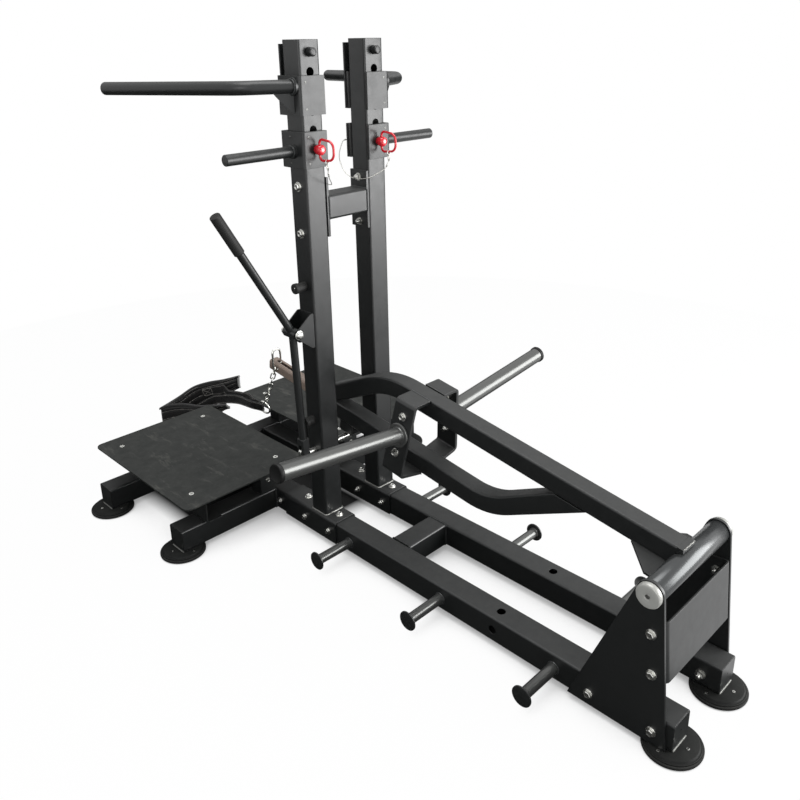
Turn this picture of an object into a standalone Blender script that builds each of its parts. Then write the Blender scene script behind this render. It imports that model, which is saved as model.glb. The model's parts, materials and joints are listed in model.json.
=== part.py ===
"""Belt squat machine.

A welded steel frame carries two foot plates, two uprights with hand holds and a long lever arm.
The arm is hinged at the rear, holds weight discs on two horns and lifts a hip belt on a chain.
A hand lever on one upright draws the latch pin that the arm rests on.

Metres, +Z up, floor at z = 0. +Y runs from the foot plates to the rear hinge, and +X is the side
of the hand lever. Each piece is built where it sits and then hung on the empty of its joint.
"""
import math

import bmesh
import bpy
from mathutils import Matrix, Vector

# Fits
GAP = 0.0003                 # between faces that touch
RUN = 0.0005                 # around a shaft or pin that turns or slides

# Square tube sizes
RAIL = 0.080
UPRIGHT = 0.075
ARM = 0.060
TONGUE = 0.040
WALL = 0.003
TUBE_CORNER = 0.008

# Feet
FOOT_R = 0.0755
FOOT_H = 0.021
FOOT_PAD_H = 0.011
FOOT_INSET = 0.0165          # foot centre to the end of its tube
STUD_R = 0.005

# Floor frame
RAIL_X = 0.1253
RAIL_REAR = 1.3222
FRONT_LEG_Y = -0.707
FRONT_LEG_HALF = 0.589
SIDE_LEG_Y = -0.280
SIDE_LEG_END = 0.548
CROSS_TUBE_Y = 0.3257
RAIL_HOLE_R = 0.013
RAIL_HOLE_Y = 0.770

# Foot plates and what holds them
PLATE_TOP = 0.220
PLATE_T = 0.006
PLATE_X = (0.075, 0.560)
PLATE_Y = (-0.808, -0.168)
PLATE_CORNER = 0.024
BRACKET_X = 0.457
BRACKET_W = 0.117
BRACKET_FOOT = 0.055
BRACKET_LIP = 0.070
BRACKET_T = 0.005
POST_X = (0.1656, 0.228)
POST_D = 0.060

# Band pegs
PEG_Y = (0.160, 0.570, 0.979)
PEG_Z = 0.060
PEG_R = 0.016
PEG_DISC_R = 0.030
PEG_DISC_T = 0.005
PEG_END = 0.305

# Uprights
UPRIGHT_X = 0.1224
UPRIGHT_TOP = 1.6284
SADDLE_T = 0.005
SADDLE_Y = (-0.182, 0.0955)
HOLE_R = 0.013
HOLE_TOP = UPRIGHT_TOP - 0.0329
HOLE_PITCH = 0.0533
HOLE_COUNT = 6
LOCK_Z = HOLE_TOP - 5 * HOLE_PITCH
BRACE_Z = (LOCK_Z - 0.2165, LOCK_Z - 0.1410)
BRACE_PLATE_Z = (LOCK_Z - 0.2670, LOCK_Z - 0.0874)
BRACE_PLATE_T = 0.008

# Brackets that wrap the uprights
WRAP_T = 0.006
WRAP_X = 0.172
WRAP_LIP_X = 0.082
WRAP_FRONT = 0.0555
WRAP_REAR = 0.0495
WRAP_BEND = 0.004
UPPER_WRAP_Z = (HOLE_TOP - 0.1705, HOLE_TOP - 0.0625)
UPPER_PLATE_TOP = HOLE_TOP + 0.0215
LOWER_WRAP_Z = (LOCK_Z - 0.0525, LOCK_Z + 0.0510)
HANG_PIN_R = 0.0125
HANG_PIN_END = 0.058

# Hand holds
LONG_GRIP_R = 0.0195
LONG_GRIP_ROUTE = ((0.168, 0.0185, HOLE_TOP - 0.0906), (0.3109, -0.048, HOLE_TOP - 0.0906),
                   (0.4409, -0.5631, HOLE_TOP - 0.1018))
LONG_GRIP_BEND = 0.090
SHORT_GRIP_R = 0.016
SHORT_GRIP_END = 0.403
SHORT_GRIP_Z = LOCK_Z - 0.005

# Pull pins and their cords
PULL_NOSE_R = 0.0115
PULL_NOSE_Y = 0.022
KNOB_R = 0.0155
KNOB_LENGTH = 0.028
RING_WIRE = 0.0035
RING_DEPTH = 0.062
RING_HALF = 0.0315
RING_TAPER = 0.8             # half height at the rounded end over that at the knob
CORD_R = 0.00125

# Hand lever and latch
LEVER_X = 0.219
LEVER_Z = 0.777
LEVER_LEAN = 29.9
LEVER_REACH = 0.466
LEVER_ROD_R = 0.0125
LEVER_GRIP_R = 0.016
LEVER_GRIP = 0.136
LEVER_DROP = 0.4292
LEVER_HANG = 1.87
CHEEK_HALF = 0.0345
CHEEK_T = 0.004
CHEEK_Z = (0.722, 0.833)
CHEEK_TIP_R = 0.018
LEVER_PIN_R = 0.006
LATCH_R = 0.010
LATCH_TIP = 0.009
LATCH_Z = LEVER_Z - LEVER_DROP * math.cos(math.radians(LEVER_HANG))
BUMPER_Z = (0.458, 0.914)
BUMPER_END = 0.1951
BUMPER_HIGH_END = 0.2015

# Rear hinge
HINGE_Y = 1.2313
HINGE_Z = 0.4394
HUB_R = 0.030
SHAFT_R = 0.015
CAP_R = 0.0315
CAP_T = 0.014
REAR_PLATE_T = 0.008
REAR_PLATE_FOOT = (1.030, 1.310)
REAR_PLATE_HEAD_R = 0.0345
TIE_T = 0.005
TIE_LEAN = 6.05
TIE_LENGTH = 0.166
TIE_MID = (1.2835, 0.2905)
TIE_FLANGE = 0.055

# Lever arm, side view: the two tubes' centre lines as y and height
UPPER_END = (1.212, 0.4555)
UPPER_CORNER = (0.2109, 0.6104)
UPPER_LANDING = (-0.080, 0.4789)
LOWER_END = (-0.430, 0.4904)
LOWER_CORNER = (0.628, 0.3370)
LOWER_LANDING = (0.910, 0.4724)
UPPER_BEND = 0.300
LOWER_BEND = 0.245
LOWER_FRONT = -0.160
TONGUE_FRONT = -0.430
TONGUE_WALL = 0.004
SLOT_W = 0.012
SLOT_Y = (-0.405, -0.290)
HOOK_Y = -0.385
HUB_WEB_X = 0.108
HUB_WEB_Y = 1.100
HUB_WEB_T = 0.006

# Horn brackets and horns, in the arm's own tilted frame
HORN_BRACKET_Y = 0.3649
HORN_BRACKET_W = 0.080
HORN_BRACKET_T = 0.010
HORN_WALL_TOP = (0.0965, ARM / 2)
HORN_WALL_FOOT = (0.131, -0.213)
HORN_FOOT_N = -0.238
HORN_N = -0.079
HORN_R = 0.025
HORN_BORE = 0.022
HORN_END = 0.570
HORN_COLLAR_R = 0.038
HORN_COLLAR_T = 0.007
HORN_CAP_R = 0.0275
HORN_CAP_T = 0.012

# Catch under the arm
CATCH_HALF = 0.028
CATCH_T = 0.006
CATCH_DEPTH = 0.060

# Hook, chain and ring
HOOK_WIRE = 0.004
HOOK_R = 0.017
HOOK_LOW = 0.4800
HOOK_HOLE_R = 0.0085
HOOK_TALL = 0.048
HOOK_GRIP_SPARE = 0.0040     # the hook's wire bends toward the first link's crown
LINK_WIRE = 0.00225
LINK_SIDE = 0.0078           # centre of a link to the wire's centre at its side
LINK_COUNT = 7
LINK_BITE = 0.0006           # how far the wires of two links run into each other
HIP_RING_R = 0.0265
HIP_RING_WIRE = 0.0035
HIP_RING_AT = Vector((0.008, -0.505, 0.2835))
STRAP_PULL = Vector((0.161, -0.987, 0))
LOOP_AT = 0.0154             # middle of the strap's turn round the ring, from the ring's own middle
LOOP_R = 0.0058

# Hip belt
PAD_T = 0.012
PAD_END_H = 0.058
PAD_BACK_H = 0.1282
PAD_EDGE = ((0.030, -0.750, 0.2230), (0.056, -0.783, 0.2180), (0.074, -0.820, 0.2115),
            (0.089, -0.862, 0.2035), (0.106, -0.950, 0.1890), (0.125, -1.025, 0.1690),
            (0.138, -1.080, 0.1460), (0.138, -1.1072, 0.1305), (0.120, -1.1162, 0.1285),
            (0.100, -1.1162, 0.1330), (0.050, -1.100, 0.1560), (0.000, -1.055, 0.2005),
            (-0.035, -0.985, 0.2330), (-0.060, -0.900, 0.2625), (-0.085, -0.816, 0.2975))
PAD_LEAN = 52                # the free near end flops this far from upright
PAD_LEAN_SHARE = 0.20        # and stands upright again at this share of its length
STRAP_T = 0.004
STRAP_W = 0.038
STRAP_NEAR = ((0.0200, -0.6570, 0.2695), (0.0240, -0.7250, 0.2545), (0.0300, -0.7800, 0.2370),
              (0.0420, -0.8300, 0.2190))
STRAP_FAR = ((-0.0450, -0.8355, 0.2175), (-0.0300, -0.7340, 0.2465), (-0.0140, -0.6360, 0.2720))
STRAP_SEWN_NEAR = (21, 24, 27, 30, 33, 36)       # steps along the pad from its near end
STRAP_SEWN_FAR = (28, 25, 22, 19, 16, 13, 10)    # steps along the pad from its far end
STRAP_PEEL = (0.0060, 0.0022, 0.0008)            # it stands off the pad more and more as it leaves
STRAP_NEAR_DROP = 0.030
STRAP_FAR_DROP = 0.043

SIDES = (("near", 1), ("far", -1))
SMOOTH_ANGLE = math.radians(35)
X, Y, Z = Vector((1, 0, 0)), Vector((0, 1, 0)), Vector((0, 0, 1))


# Materials

def surface(name, colour, roughness, metallic=0.0):
    material = bpy.data.materials.new(name)
    material.use_nodes = True
    shader = material.node_tree.nodes["Principled BSDF"]
    shader.inputs["Base Color"].default_value = (*colour, 1)
    shader.inputs["Roughness"].default_value = roughness
    shader.inputs["Metallic"].default_value = metallic
    material.diffuse_color = (*colour, 1)
    return material


def charcoal_paint(name):
    return surface(name + "_paint", (0.035, 0.038, 0.040), 0.38, 0.2)


def plate_paint(name):
    return surface(name + "_paint", (0.045, 0.048, 0.048), 0.62, 0.1)


def bright_zinc(name):
    return surface(name + "_zinc", (0.72, 0.72, 0.70), 0.25, 1.0)


def black_rubber(name):
    return surface(name + "_rubber", (0.018, 0.018, 0.018), 0.75)


def liner_plastic(name):
    return surface(name + "_plastic", (0.70, 0.70, 0.68), 0.45)


def red_plastic(name):
    return surface(name + "_plastic", (0.62, 0.010, 0.022), 0.25)


def taupe_paint(name):
    return surface(name + "_paint", (0.22, 0.165, 0.135), 0.5, 0.1)


def belt_cloth(name):
    return surface(name + "_cloth", (0.020, 0.018, 0.018), 0.7)


# Outlines

def rounded_rect(width, height, radius, steps=2):
    """Closed outline of a rounded rectangle, counter-clockwise."""
    points = []
    for cx, cy, start in ((1, 1, 0), (-1, 1, 90), (-1, -1, 180), (1, -1, 270)):
        for i in range(steps + 1):
            a = math.radians(start + 90 * i / steps)
            points.append((cx * (width / 2 - radius) + radius * math.cos(a),
                           cy * (height / 2 - radius) + radius * math.sin(a)))
    return points


def circle(radius, count):
    return [(radius * math.cos(2 * math.pi * i / count), radius * math.sin(2 * math.pi * i / count))
            for i in range(count)]


def tube_outlines(width, wall=WALL):
    """Outer and inner outlines of a square tube."""
    inner = width - 2 * wall
    return rounded_rect(width, width, TUBE_CORNER), rounded_rect(inner, inner, TUBE_CORNER - wall)


def fillet(points, radius, steps, closed=False):
    """The polyline with its corners turned into arcs; radius is one value or one for each point."""
    points = [Vector(p) for p in points]
    count = len(points)
    radii = radius if isinstance(radius, (list, tuple)) else [radius] * count
    out = []
    for i, corner in enumerate(points):
        if not closed and i in (0, count - 1) or radii[i] == 0:
            out.append(corner)
            continue
        a = (points[i - 1] - corner).normalized()
        b = (points[(i + 1) % count] - corner).normalized()
        half = a.angle(b) / 2
        if math.pi / 2 - half < 1e-4:
            out.append(corner)
            continue
        middle = corner + (a + b).normalized() * (radii[i] / math.sin(half))
        start = corner + a * (radii[i] / math.tan(half)) - middle
        end = corner + b * (radii[i] / math.tan(half)) - middle
        for k in range(steps + 1):
            out.append(middle + arc_between(start, end, k / steps))
    return out


def arc_between(start, end, share):
    angle = start.angle(end)
    return (start * math.sin((1 - share) * angle) + end * math.sin(share * angle)) / math.sin(angle)


def strip(points, thickness, radius, steps=4):
    """Outline of a bent sheet whose left face follows the points."""
    points = [Vector(p) for p in points]
    offset = []
    for i, p in enumerate(points):
        ahead = (points[min(i + 1, len(points) - 1)] - points[max(i, 1) - (0 if i else 1)])
        behind = p - points[i - 1] if i else ahead
        ahead = points[i + 1] - p if i < len(points) - 1 else behind
        n1 = Vector((behind.y, -behind.x)).normalized()
        n2 = Vector((ahead.y, -ahead.x)).normalized()
        mitre = (n1 + n2).normalized()
        offset.append(p + mitre * thickness / mitre.dot(n1))
    turns = []
    for i in range(1, len(points) - 1):
        cross = (points[i] - points[i - 1]).cross(points[i + 1] - points[i])
        turns.append(cross)
    left = [0] + [radius if c < 0 else radius - thickness for c in turns] + [0]
    right = [0] + [radius - thickness if c < 0 else radius for c in turns] + [0]
    left_face = fillet(points, [max(r, 0.0005) if r else 0 for r in left], steps)
    right_face = fillet(offset, [max(r, 0.0005) if r else 0 for r in right], steps)
    return left_face + right_face[::-1]


# Solids

def blank(bm):
    """A loose mesh object with its faces turned outward."""
    bmesh.ops.remove_doubles(bm, verts=bm.verts, dist=1e-6)
    bmesh.ops.recalc_face_normals(bm, faces=bm.faces)
    mesh = bpy.data.meshes.new("blank")
    bm.to_mesh(mesh)
    bm.free()
    return bpy.data.objects.new("blank", mesh)


def extrude(outline, low, high, axes):
    """Outline in the plane of the first two axes, pushed along the third from low to high."""
    bm = bmesh.new()
    a, b, c = axes
    ends = [[bm.verts.new(a * p[0] + b * p[1] + c * level) for p in outline] for level in (low, high)]
    bm.faces.new(ends[0])
    bm.faces.new(ends[1])
    bridge(bm, ends[0], ends[1])
    return blank(bm)


def box(x, y, z):
    return extrude(((x[0], y[0]), (x[1], y[0]), (x[1], y[1]), (x[0], y[1])), z[0], z[1], (X, Y, Z))


def bridge(bm, ring_a, ring_b):
    count = len(ring_a)
    for i in range(count):
        j = (i + 1) % count
        bm.faces.new((ring_a[i], ring_a[j], ring_b[j], ring_b[i]))


def route_frames(path, up, closed=False, ups=None):
    """Tangent, side and up at each point of a path, carried along it or nearest to the given ups."""
    count = len(path)
    legs = [(path[(i + 1) % count] - path[i]).normalized() for i in range(count)]
    frames = []
    for i in range(count):
        if closed:
            tangent = (legs[i - 1] + legs[i]).normalized()
        elif i == 0:
            tangent = legs[0]
        elif i == count - 1:
            tangent = legs[-2]
        else:
            tangent = (legs[i - 1] + legs[i]).normalized()
        up = ups[i] if ups else up
        up = (up - tangent * up.dot(tangent)).normalized()
        frames.append((tangent, tangent.cross(up), up))
    return frames


def sweep(path, outer, up, inner=None, closed_ends=(False, False), cuts=(None, None), loop=False,
          cap_t=WALL, ups=None):
    """Outline carried along a path. A cut is a point and normal that its end is trimmed to."""
    path = [Vector(p) for p in path]
    frames = route_frames(path, Vector(up), loop, ups)
    bm = bmesh.new()

    def rings(outline, pull):
        out = []
        for i, (point, (tangent, side, top)) in enumerate(zip(path, frames)):
            end = 0 if i == 0 else 1 if i == len(path) - 1 else None
            back = 0.0
            if end is not None and not loop:
                back = pull[end] * (1 if end == 0 else -1)
            ring = []
            for a, b in outline:
                v = point + side * a + top * b
                if end is not None and not loop and cuts[end]:
                    at, normal = cuts[end]
                    v += tangent * (at - v).dot(normal) / tangent.dot(normal)
                ring.append(bm.verts.new(v + tangent * back))
            out.append(ring)
        return out

    def skin(all_rings):
        for a, b in zip(all_rings, all_rings[1:]):
            bridge(bm, a, b)
        if loop:
            bridge(bm, all_rings[-1], all_rings[0])

    shell = rings(outer, (0, 0))
    skin(shell)
    if inner:
        core = rings(inner, tuple(cap_t if c else 0 for c in closed_ends))
        skin(core)
        for end, is_closed in zip((0, -1), closed_ends):
            if is_closed:
                bm.faces.new(shell[end])
                bm.faces.new(core[end])
            else:
                bridge(bm, shell[end], core[end])
    elif not loop:
        bm.faces.new(shell[0])
        bm.faces.new(shell[-1])
    return blank(bm)


def lathe(profile, at, axis, count=32, closed=False):
    """Solid of revolution from (distance along the axis, radius) pairs."""
    axis = Vector(axis).normalized()
    helper = Z if abs(axis.z) < 0.9 else X
    side = axis.cross(helper).normalized()
    top = side.cross(axis)
    at = Vector(at)
    bm = bmesh.new()
    rings = []
    for along, radius in profile:
        if radius == 0:
            rings.append(bm.verts.new(at + axis * along))
        else:
            rings.append([bm.verts.new(at + axis * along + side * a + top * b)
                          for a, b in circle(radius, count)])
    pairs = list(zip(rings, rings[1:]))
    if closed:
        pairs.append((rings[-1], rings[0]))
    for a, b in pairs:
        if isinstance(a, list) and isinstance(b, list):
            bridge(bm, a, b)
            continue
        point, ring = (a, b) if isinstance(b, list) else (b, a)
        for i in range(count):
            bm.faces.new((point, ring[i], ring[(i + 1) % count]))
    return blank(bm)


def rod(a, b, radius, count=24):
    a, b = Vector(a), Vector(b)
    return lathe(((0, 0), (0, radius), ((b - a).length, radius), ((b - a).length, 0)), a, b - a, count)


def combine(target, tools, operation="DIFFERENCE"):
    """Exact boolean of the target with each tool in turn."""
    scene = bpy.context.scene.collection
    scene.objects.link(target)
    for tool in tools:
        scene.objects.link(tool)
        modifier = target.modifiers.new("combine", "BOOLEAN")
        modifier.operation = operation
        modifier.solver = "EXACT"
        modifier.object = tool
    bpy.context.view_layer.update()
    graph = bpy.context.evaluated_depsgraph_get()
    mesh = bpy.data.meshes.new_from_object(target.evaluated_get(graph))
    target.modifiers.clear()
    target.data = mesh
    scene.objects.unlink(target)
    for tool in tools:
        bpy.data.objects.remove(tool)
    return target


def weld(target, *tools):
    return combine(target, tools, "UNION")


def carve(target, *tools):
    return combine(target, tools, "DIFFERENCE")


def mirror_mesh(thing, side):
    """The piece as it is on the near side, or reflected to the far side."""
    if side < 0:
        thing.data.transform(Matrix.Scale(-1, 4, X))
        thing.data.flip_normals()
    return thing


class Machine:
    """Names the finished pieces and hangs each on the empty of its joint."""

    def __init__(self):
        self.root = bpy.data.objects.new("machine", None)
        bpy.context.scene.collection.objects.link(self.root)
        self.joints = {}
        self.pieces = []

    def joint(self, name, at, parent=None):
        empty = bpy.data.objects.new(name, None)
        bpy.context.scene.collection.objects.link(empty)
        holder = self.joints[parent] if parent else self.root
        empty.parent = holder
        base = self.joints[parent]["at"] if parent else (0, 0, 0)
        empty.location = Vector(at) - Vector(base)
        empty["at"] = tuple(at)
        self.joints[name] = empty

    def add(self, name, thing, material, joint=None):
        thing.name = name
        if thing.type == "MESH":
            thing.data.name = name
            thing.data.shade_smooth()
            thing.data.set_sharp_from_angle(angle=SMOOTH_ANGLE)
        thing.data.materials.clear()
        thing.data.materials.append(material(name))
        bpy.context.scene.collection.objects.link(thing)
        thing.parent = self.joints[joint] if joint else self.root
        if joint:
            thing.data.transform(Matrix.Translation(-Vector(self.joints[joint]["at"])))
        self.pieces.append(thing)

    def centre(self):
        """Put the middle of the whole on x = y = 0 and its underside on the floor."""
        bpy.context.view_layer.update()
        corners = [p.matrix_world @ Vector(c) for p in self.pieces for c in p.bound_box]
        low = Vector([min(c[i] for c in corners) for i in range(3)])
        high = Vector([max(c[i] for c in corners) for i in range(3)])
        self.root.location = (-(low.x + high.x) / 2, -(low.y + high.y) / 2, -low.z)
        print("machine moved by", tuple(round(v, 5) for v in self.root.location))


# Floor frame

LEG_MID = FOOT_H + RAIL / 2
LEG_TOP = FOOT_H + RAIL
RAIL_IN = RAIL_X - RAIL / 2
RAIL_OUT = RAIL_X + RAIL / 2
FRONT_LEG_REAR = FRONT_LEG_Y + RAIL / 2


def stud_hole(x, y):
    return rod((x, y, FOOT_H - 0.01), (x, y, FOOT_H + RAIL / 2), STUD_R + RUN, 10)


def make_rail(side):
    outer, inner = tube_outlines(RAIL)
    x = RAIL_X * side
    rail = sweep(((x, FRONT_LEG_REAR + GAP, LEG_MID), (x, RAIL_REAR, LEG_MID)), outer, Z, inner,
                 (False, True))
    return carve(rail,
                 rod((x, RAIL_HOLE_Y, LEG_MID), (x, RAIL_HOLE_Y, LEG_TOP + 0.01), RAIL_HOLE_R, 14),
                 rod((x, RAIL_HOLE_Y, LEG_MID), (x + side * RAIL, RAIL_HOLE_Y, LEG_MID), RAIL_HOLE_R, 14),
                 stud_hole(x, RAIL_REAR - FOOT_INSET))


def make_cross_tube():
    outer, inner = tube_outlines(RAIL)
    end = RAIL_IN - GAP
    return sweep(((-end, CROSS_TUBE_Y, LEG_MID), (end, CROSS_TUBE_Y, LEG_MID)), outer, Z, inner)


def outer_support(side, leg_y):
    """Z-shaped bracket: foot on the leg, wall, and a lip under the plate's outer screws."""
    top = PLATE_TOP - PLATE_T - GAP
    foot = LEG_TOP - 0.0005
    wall = BRACKET_X
    outline = strip(((wall - BRACKET_FOOT, foot + BRACKET_T), (wall, foot + BRACKET_T), (wall, top),
                     (wall + BRACKET_LIP, top)), BRACKET_T, 0.006)
    piece = extrude(outline, -(leg_y + BRACKET_W / 2), -(leg_y - BRACKET_W / 2), (X, Z, -Y))
    return mirror_mesh(piece, side)


def inner_support(side, rear_y):
    """Square post beside the rail with a lip over the rail's top."""
    top = PLATE_TOP - PLATE_T - GAP
    x0, x1 = POST_X
    post = box((x0, x1), (rear_y - POST_D, rear_y), (LEG_TOP - 0.0005, top))
    lip = box((PLATE_X[0] + 0.045, x0 + 0.002), (rear_y - POST_D, rear_y), (top - BRACKET_T, top))
    hollow = box((x0 + WALL, x1 - WALL), (rear_y - POST_D + WALL, rear_y - WALL), (LEG_TOP, top + 0.01))
    return mirror_mesh(carve(weld(post, lip), hollow), side)


def make_front_leg():
    outer, inner = tube_outlines(RAIL)
    half = FRONT_LEG_HALF
    leg = sweep(((-half, FRONT_LEG_Y, LEG_MID), (half, FRONT_LEG_Y, LEG_MID)), outer, Z)
    half -= WALL
    leg = carve(leg, sweep(((-half, FRONT_LEG_Y, LEG_MID), (half, FRONT_LEG_Y, LEG_MID)), inner, Z))
    holes = [stud_hole(side * (FRONT_LEG_HALF - FOOT_INSET), FRONT_LEG_Y) for _, side in SIDES]
    leg = carve(leg, *holes)
    for _, side in SIDES:
        leg = weld(leg, outer_support(side, FRONT_LEG_Y), inner_support(side, FRONT_LEG_REAR))
    return leg


def make_side_leg(side):
    outer, inner = tube_outlines(RAIL)
    leg = sweep(((RAIL_OUT + GAP, SIDE_LEG_Y, LEG_MID), (SIDE_LEG_END, SIDE_LEG_Y, LEG_MID)),
                outer, Z, inner, (False, True))
    leg = carve(leg, stud_hole(SIDE_LEG_END - FOOT_INSET, SIDE_LEG_Y))
    leg = weld(leg, outer_support(1, SIDE_LEG_Y), inner_support(1, SIDE_LEG_Y + RAIL / 2))
    return mirror_mesh(leg, side)


def make_foot(x, y):
    """Rubber pad under a stepped steel disc, with the stud that goes up into the tube."""
    top = FOOT_H - GAP
    profile = ((0, 0), (0, FOOT_R - 0.003), (0.003, FOOT_R), (FOOT_PAD_H, FOOT_R),
               (FOOT_PAD_H, FOOT_R - 0.003), (top, FOOT_R - 0.005),
               (top, STUD_R), (top + 0.020, STUD_R), (top + 0.020, 0))
    return lathe(profile, (x, y, 0), Z, 20)


def make_foot_plate(side):
    x0, x1 = PLATE_X
    y0, y1 = PLATE_Y
    outline = [((x0 + x1) / 2 + a, (y0 + y1) / 2 + b)
               for a, b in rounded_rect(x1 - x0, y1 - y0, PLATE_CORNER, 5)]
    return mirror_mesh(extrude(outline, PLATE_TOP - PLATE_T, PLATE_TOP, (X, Y, Z)), side)


def make_peg(side, y):
    start = RAIL_OUT + GAP
    disc = PEG_END - PEG_DISC_T
    profile = ((start, 0), (start, PEG_R), (disc, PEG_R), (disc, PEG_DISC_R),
               (PEG_END - 0.001, PEG_DISC_R), (PEG_END, PEG_DISC_R - 0.001), (PEG_END, 0))
    return mirror_mesh(lathe(profile, (0, y, PEG_Z), X, 16), side)


def build_floor_frame(machine):
    machine.add("cross_tube", make_cross_tube(), charcoal_paint)
    machine.add("front_leg", make_front_leg(), charcoal_paint)
    for name, side in SIDES:
        machine.add("rail_" + name, make_rail(side), charcoal_paint)
        machine.add("side_leg_" + name, make_side_leg(side), charcoal_paint)
        machine.add("foot_plate_" + name, make_foot_plate(side), plate_paint)
        machine.add("foot_front_" + name,
                    make_foot(side * (FRONT_LEG_HALF - FOOT_INSET), FRONT_LEG_Y), black_rubber)
        machine.add("foot_side_" + name,
                    make_foot(side * (SIDE_LEG_END - FOOT_INSET), SIDE_LEG_Y), black_rubber)
        machine.add("foot_rear_" + name, make_foot(side * RAIL_X, RAIL_REAR - FOOT_INSET), black_rubber)
        for i, y in enumerate(PEG_Y):
            machine.add("band_peg_%s_%d" % (name, i + 1), make_peg(side, y), charcoal_paint)


# Uprights

SADDLE_TOP = LEG_TOP + GAP + SADDLE_T
UPRIGHT_OUT = UPRIGHT_X + UPRIGHT / 2
UPRIGHT_IN = UPRIGHT_X - UPRIGHT / 2
UPRIGHT_FACE = UPRIGHT / 2


def make_saddle(side):
    """Channel bent over the rail, which the upright stands on."""
    foot = FOOT_H + 0.003
    reach = RAIL / 2 + GAP + SADDLE_T
    outline = strip(((-reach, foot), (-reach, SADDLE_TOP), (reach, SADDLE_TOP), (reach, foot)),
                    SADDLE_T, TUBE_CORNER + SADDLE_T)
    saddle = extrude([(p[0] + RAIL_X, p[1]) for p in outline], -SADDLE_Y[1], -SADDLE_Y[0], (X, Z, -Y))
    return mirror_mesh(saddle, side)


def make_upright(side):
    outer, inner = tube_outlines(UPRIGHT)
    post = sweep(((UPRIGHT_X, 0, SADDLE_TOP + GAP), (UPRIGHT_X, 0, UPRIGHT_TOP)), outer, Y, inner,
                 (False, True))
    reach = UPRIGHT
    rows = [HOLE_TOP - i * HOLE_PITCH for i in range(HOLE_COUNT)]
    holes = [rod((UPRIGHT_X, -reach, z), (UPRIGHT_X, reach, z), HOLE_R, 12) for z in rows]
    if side > 0:
        holes.append(rod((0.05, 0, LATCH_Z), (0.20, 0, LATCH_Z), LATCH_R + 2 * RUN, 14))
    return mirror_mesh(carve(post, *holes), side)


def make_brace():
    """Square tube between two end plates that bolt to the uprights' inner faces."""
    inner_face = UPRIGHT_IN - GAP
    plate = inner_face - BRACE_PLATE_T
    middle = sum(BRACE_Z) / 2
    size = BRACE_Z[1] - BRACE_Z[0]
    outer, inner = tube_outlines(size)
    tube = sweep(((-plate - 0.001, 0, middle), (plate + 0.001, 0, middle)), outer, Z)
    ends = [box(sorted((side * plate, side * inner_face)), (-UPRIGHT / 2, UPRIGHT / 2), BRACE_PLATE_Z)
            for _, side in SIDES]
    brace = weld(tube, *ends)
    bore = sweep(((-0.2, 0, middle), (0.2, 0, middle)), inner, Z)
    return carve(brace, bore)


def build_uprights(machine):
    for name, side in SIDES:
        machine.add("saddle_" + name, make_saddle(side), charcoal_paint)
        machine.add("upright_" + name, make_upright(side), charcoal_paint)
    machine.add("upright_brace", make_brace(), charcoal_paint)


# Brackets round the uprights, hand holds and pull pins

def wrap_outline():
    return strip(((WRAP_LIP_X, -WRAP_FRONT), (WRAP_X, -WRAP_FRONT), (WRAP_X, WRAP_REAR),
                  (WRAP_LIP_X, WRAP_REAR)), -WRAP_T, WRAP_BEND)


def wrap_bracket(z):
    return extrude(wrap_outline(), z[0], z[1], (X, Y, Z))


def make_liner(z, side, holes):
    """Plastic lining that fills the space between a wrap bracket and the upright."""
    sheet = WRAP_T + GAP
    outside = ((WRAP_LIP_X + 0.002, -WRAP_FRONT + sheet), (WRAP_X - sheet, -WRAP_FRONT + sheet),
               (WRAP_X - sheet, WRAP_REAR - sheet), (WRAP_LIP_X + 0.002, WRAP_REAR - sheet))
    clear = UPRIGHT_FACE + GAP
    inside = ((WRAP_LIP_X + 0.002, clear), (UPRIGHT_OUT + GAP, clear), (UPRIGHT_OUT + GAP, -clear),
              (WRAP_LIP_X + 0.002, -clear))
    bend = WRAP_BEND - GAP
    outer = fillet(outside, [0, bend, bend, 0], 3)
    outline = outer + [Vector(p) for p in inside]
    liner = extrude(outline, z[0], z[1], (X, Y, Z))
    if holes:
        liner = carve(liner, *holes)
    return mirror_mesh(liner, side)


def make_upper_handle(side):
    """Wrap bracket, tall plate with its hanging pin, and the long bent grip."""
    low, high = UPPER_WRAP_Z
    sheet = wrap_bracket(UPPER_WRAP_Z)
    tall = box((WRAP_LIP_X, UPRIGHT_OUT - 0.002), (-WRAP_FRONT, -WRAP_FRONT + WRAP_T),
               (high - 0.010, UPPER_PLATE_TOP))
    pin = lathe(((-WRAP_FRONT + 0.002, 0), (-WRAP_FRONT + 0.002, HANG_PIN_R),
                 (HANG_PIN_END - 0.003, HANG_PIN_R), (HANG_PIN_END, HANG_PIN_R - 0.003),
                 (HANG_PIN_END, 0)), (UPRIGHT_X, 0, HOLE_TOP), Y, 16)
    route = fillet(LONG_GRIP_ROUTE, LONG_GRIP_BEND, 5)
    grip = sweep(route, circle(LONG_GRIP_R, 16), Z, cuts=((Vector((WRAP_X - 0.003, 0, 0)), X), None))
    start, ahead = Vector(LONG_GRIP_ROUTE[0]), Vector(LONG_GRIP_ROUTE[1])
    collar = rod((WRAP_X - 0.001, start.y, start.z), (WRAP_X + 0.007, start.y, start.z), 0.0255, 20)
    run = (ahead - start).normalized()
    foot = Vector((WRAP_X - 0.001, start.y, start.z))
    web_outline = ((0, -0.010), (0.060, -0.012), (0.052, -0.024), (0.012, low - start.z + 0.012),
                   (0, low - start.z + 0.006))
    web = extrude(web_outline, -0.003, 0.003, (run, Z, run.cross(Z)))
    web.data.transform(Matrix.Translation(foot))
    handle = weld(sheet, tall)
    for more in (web, collar, grip, pin):
        handle = weld(handle, more)
    return mirror_mesh(handle, side)


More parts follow.
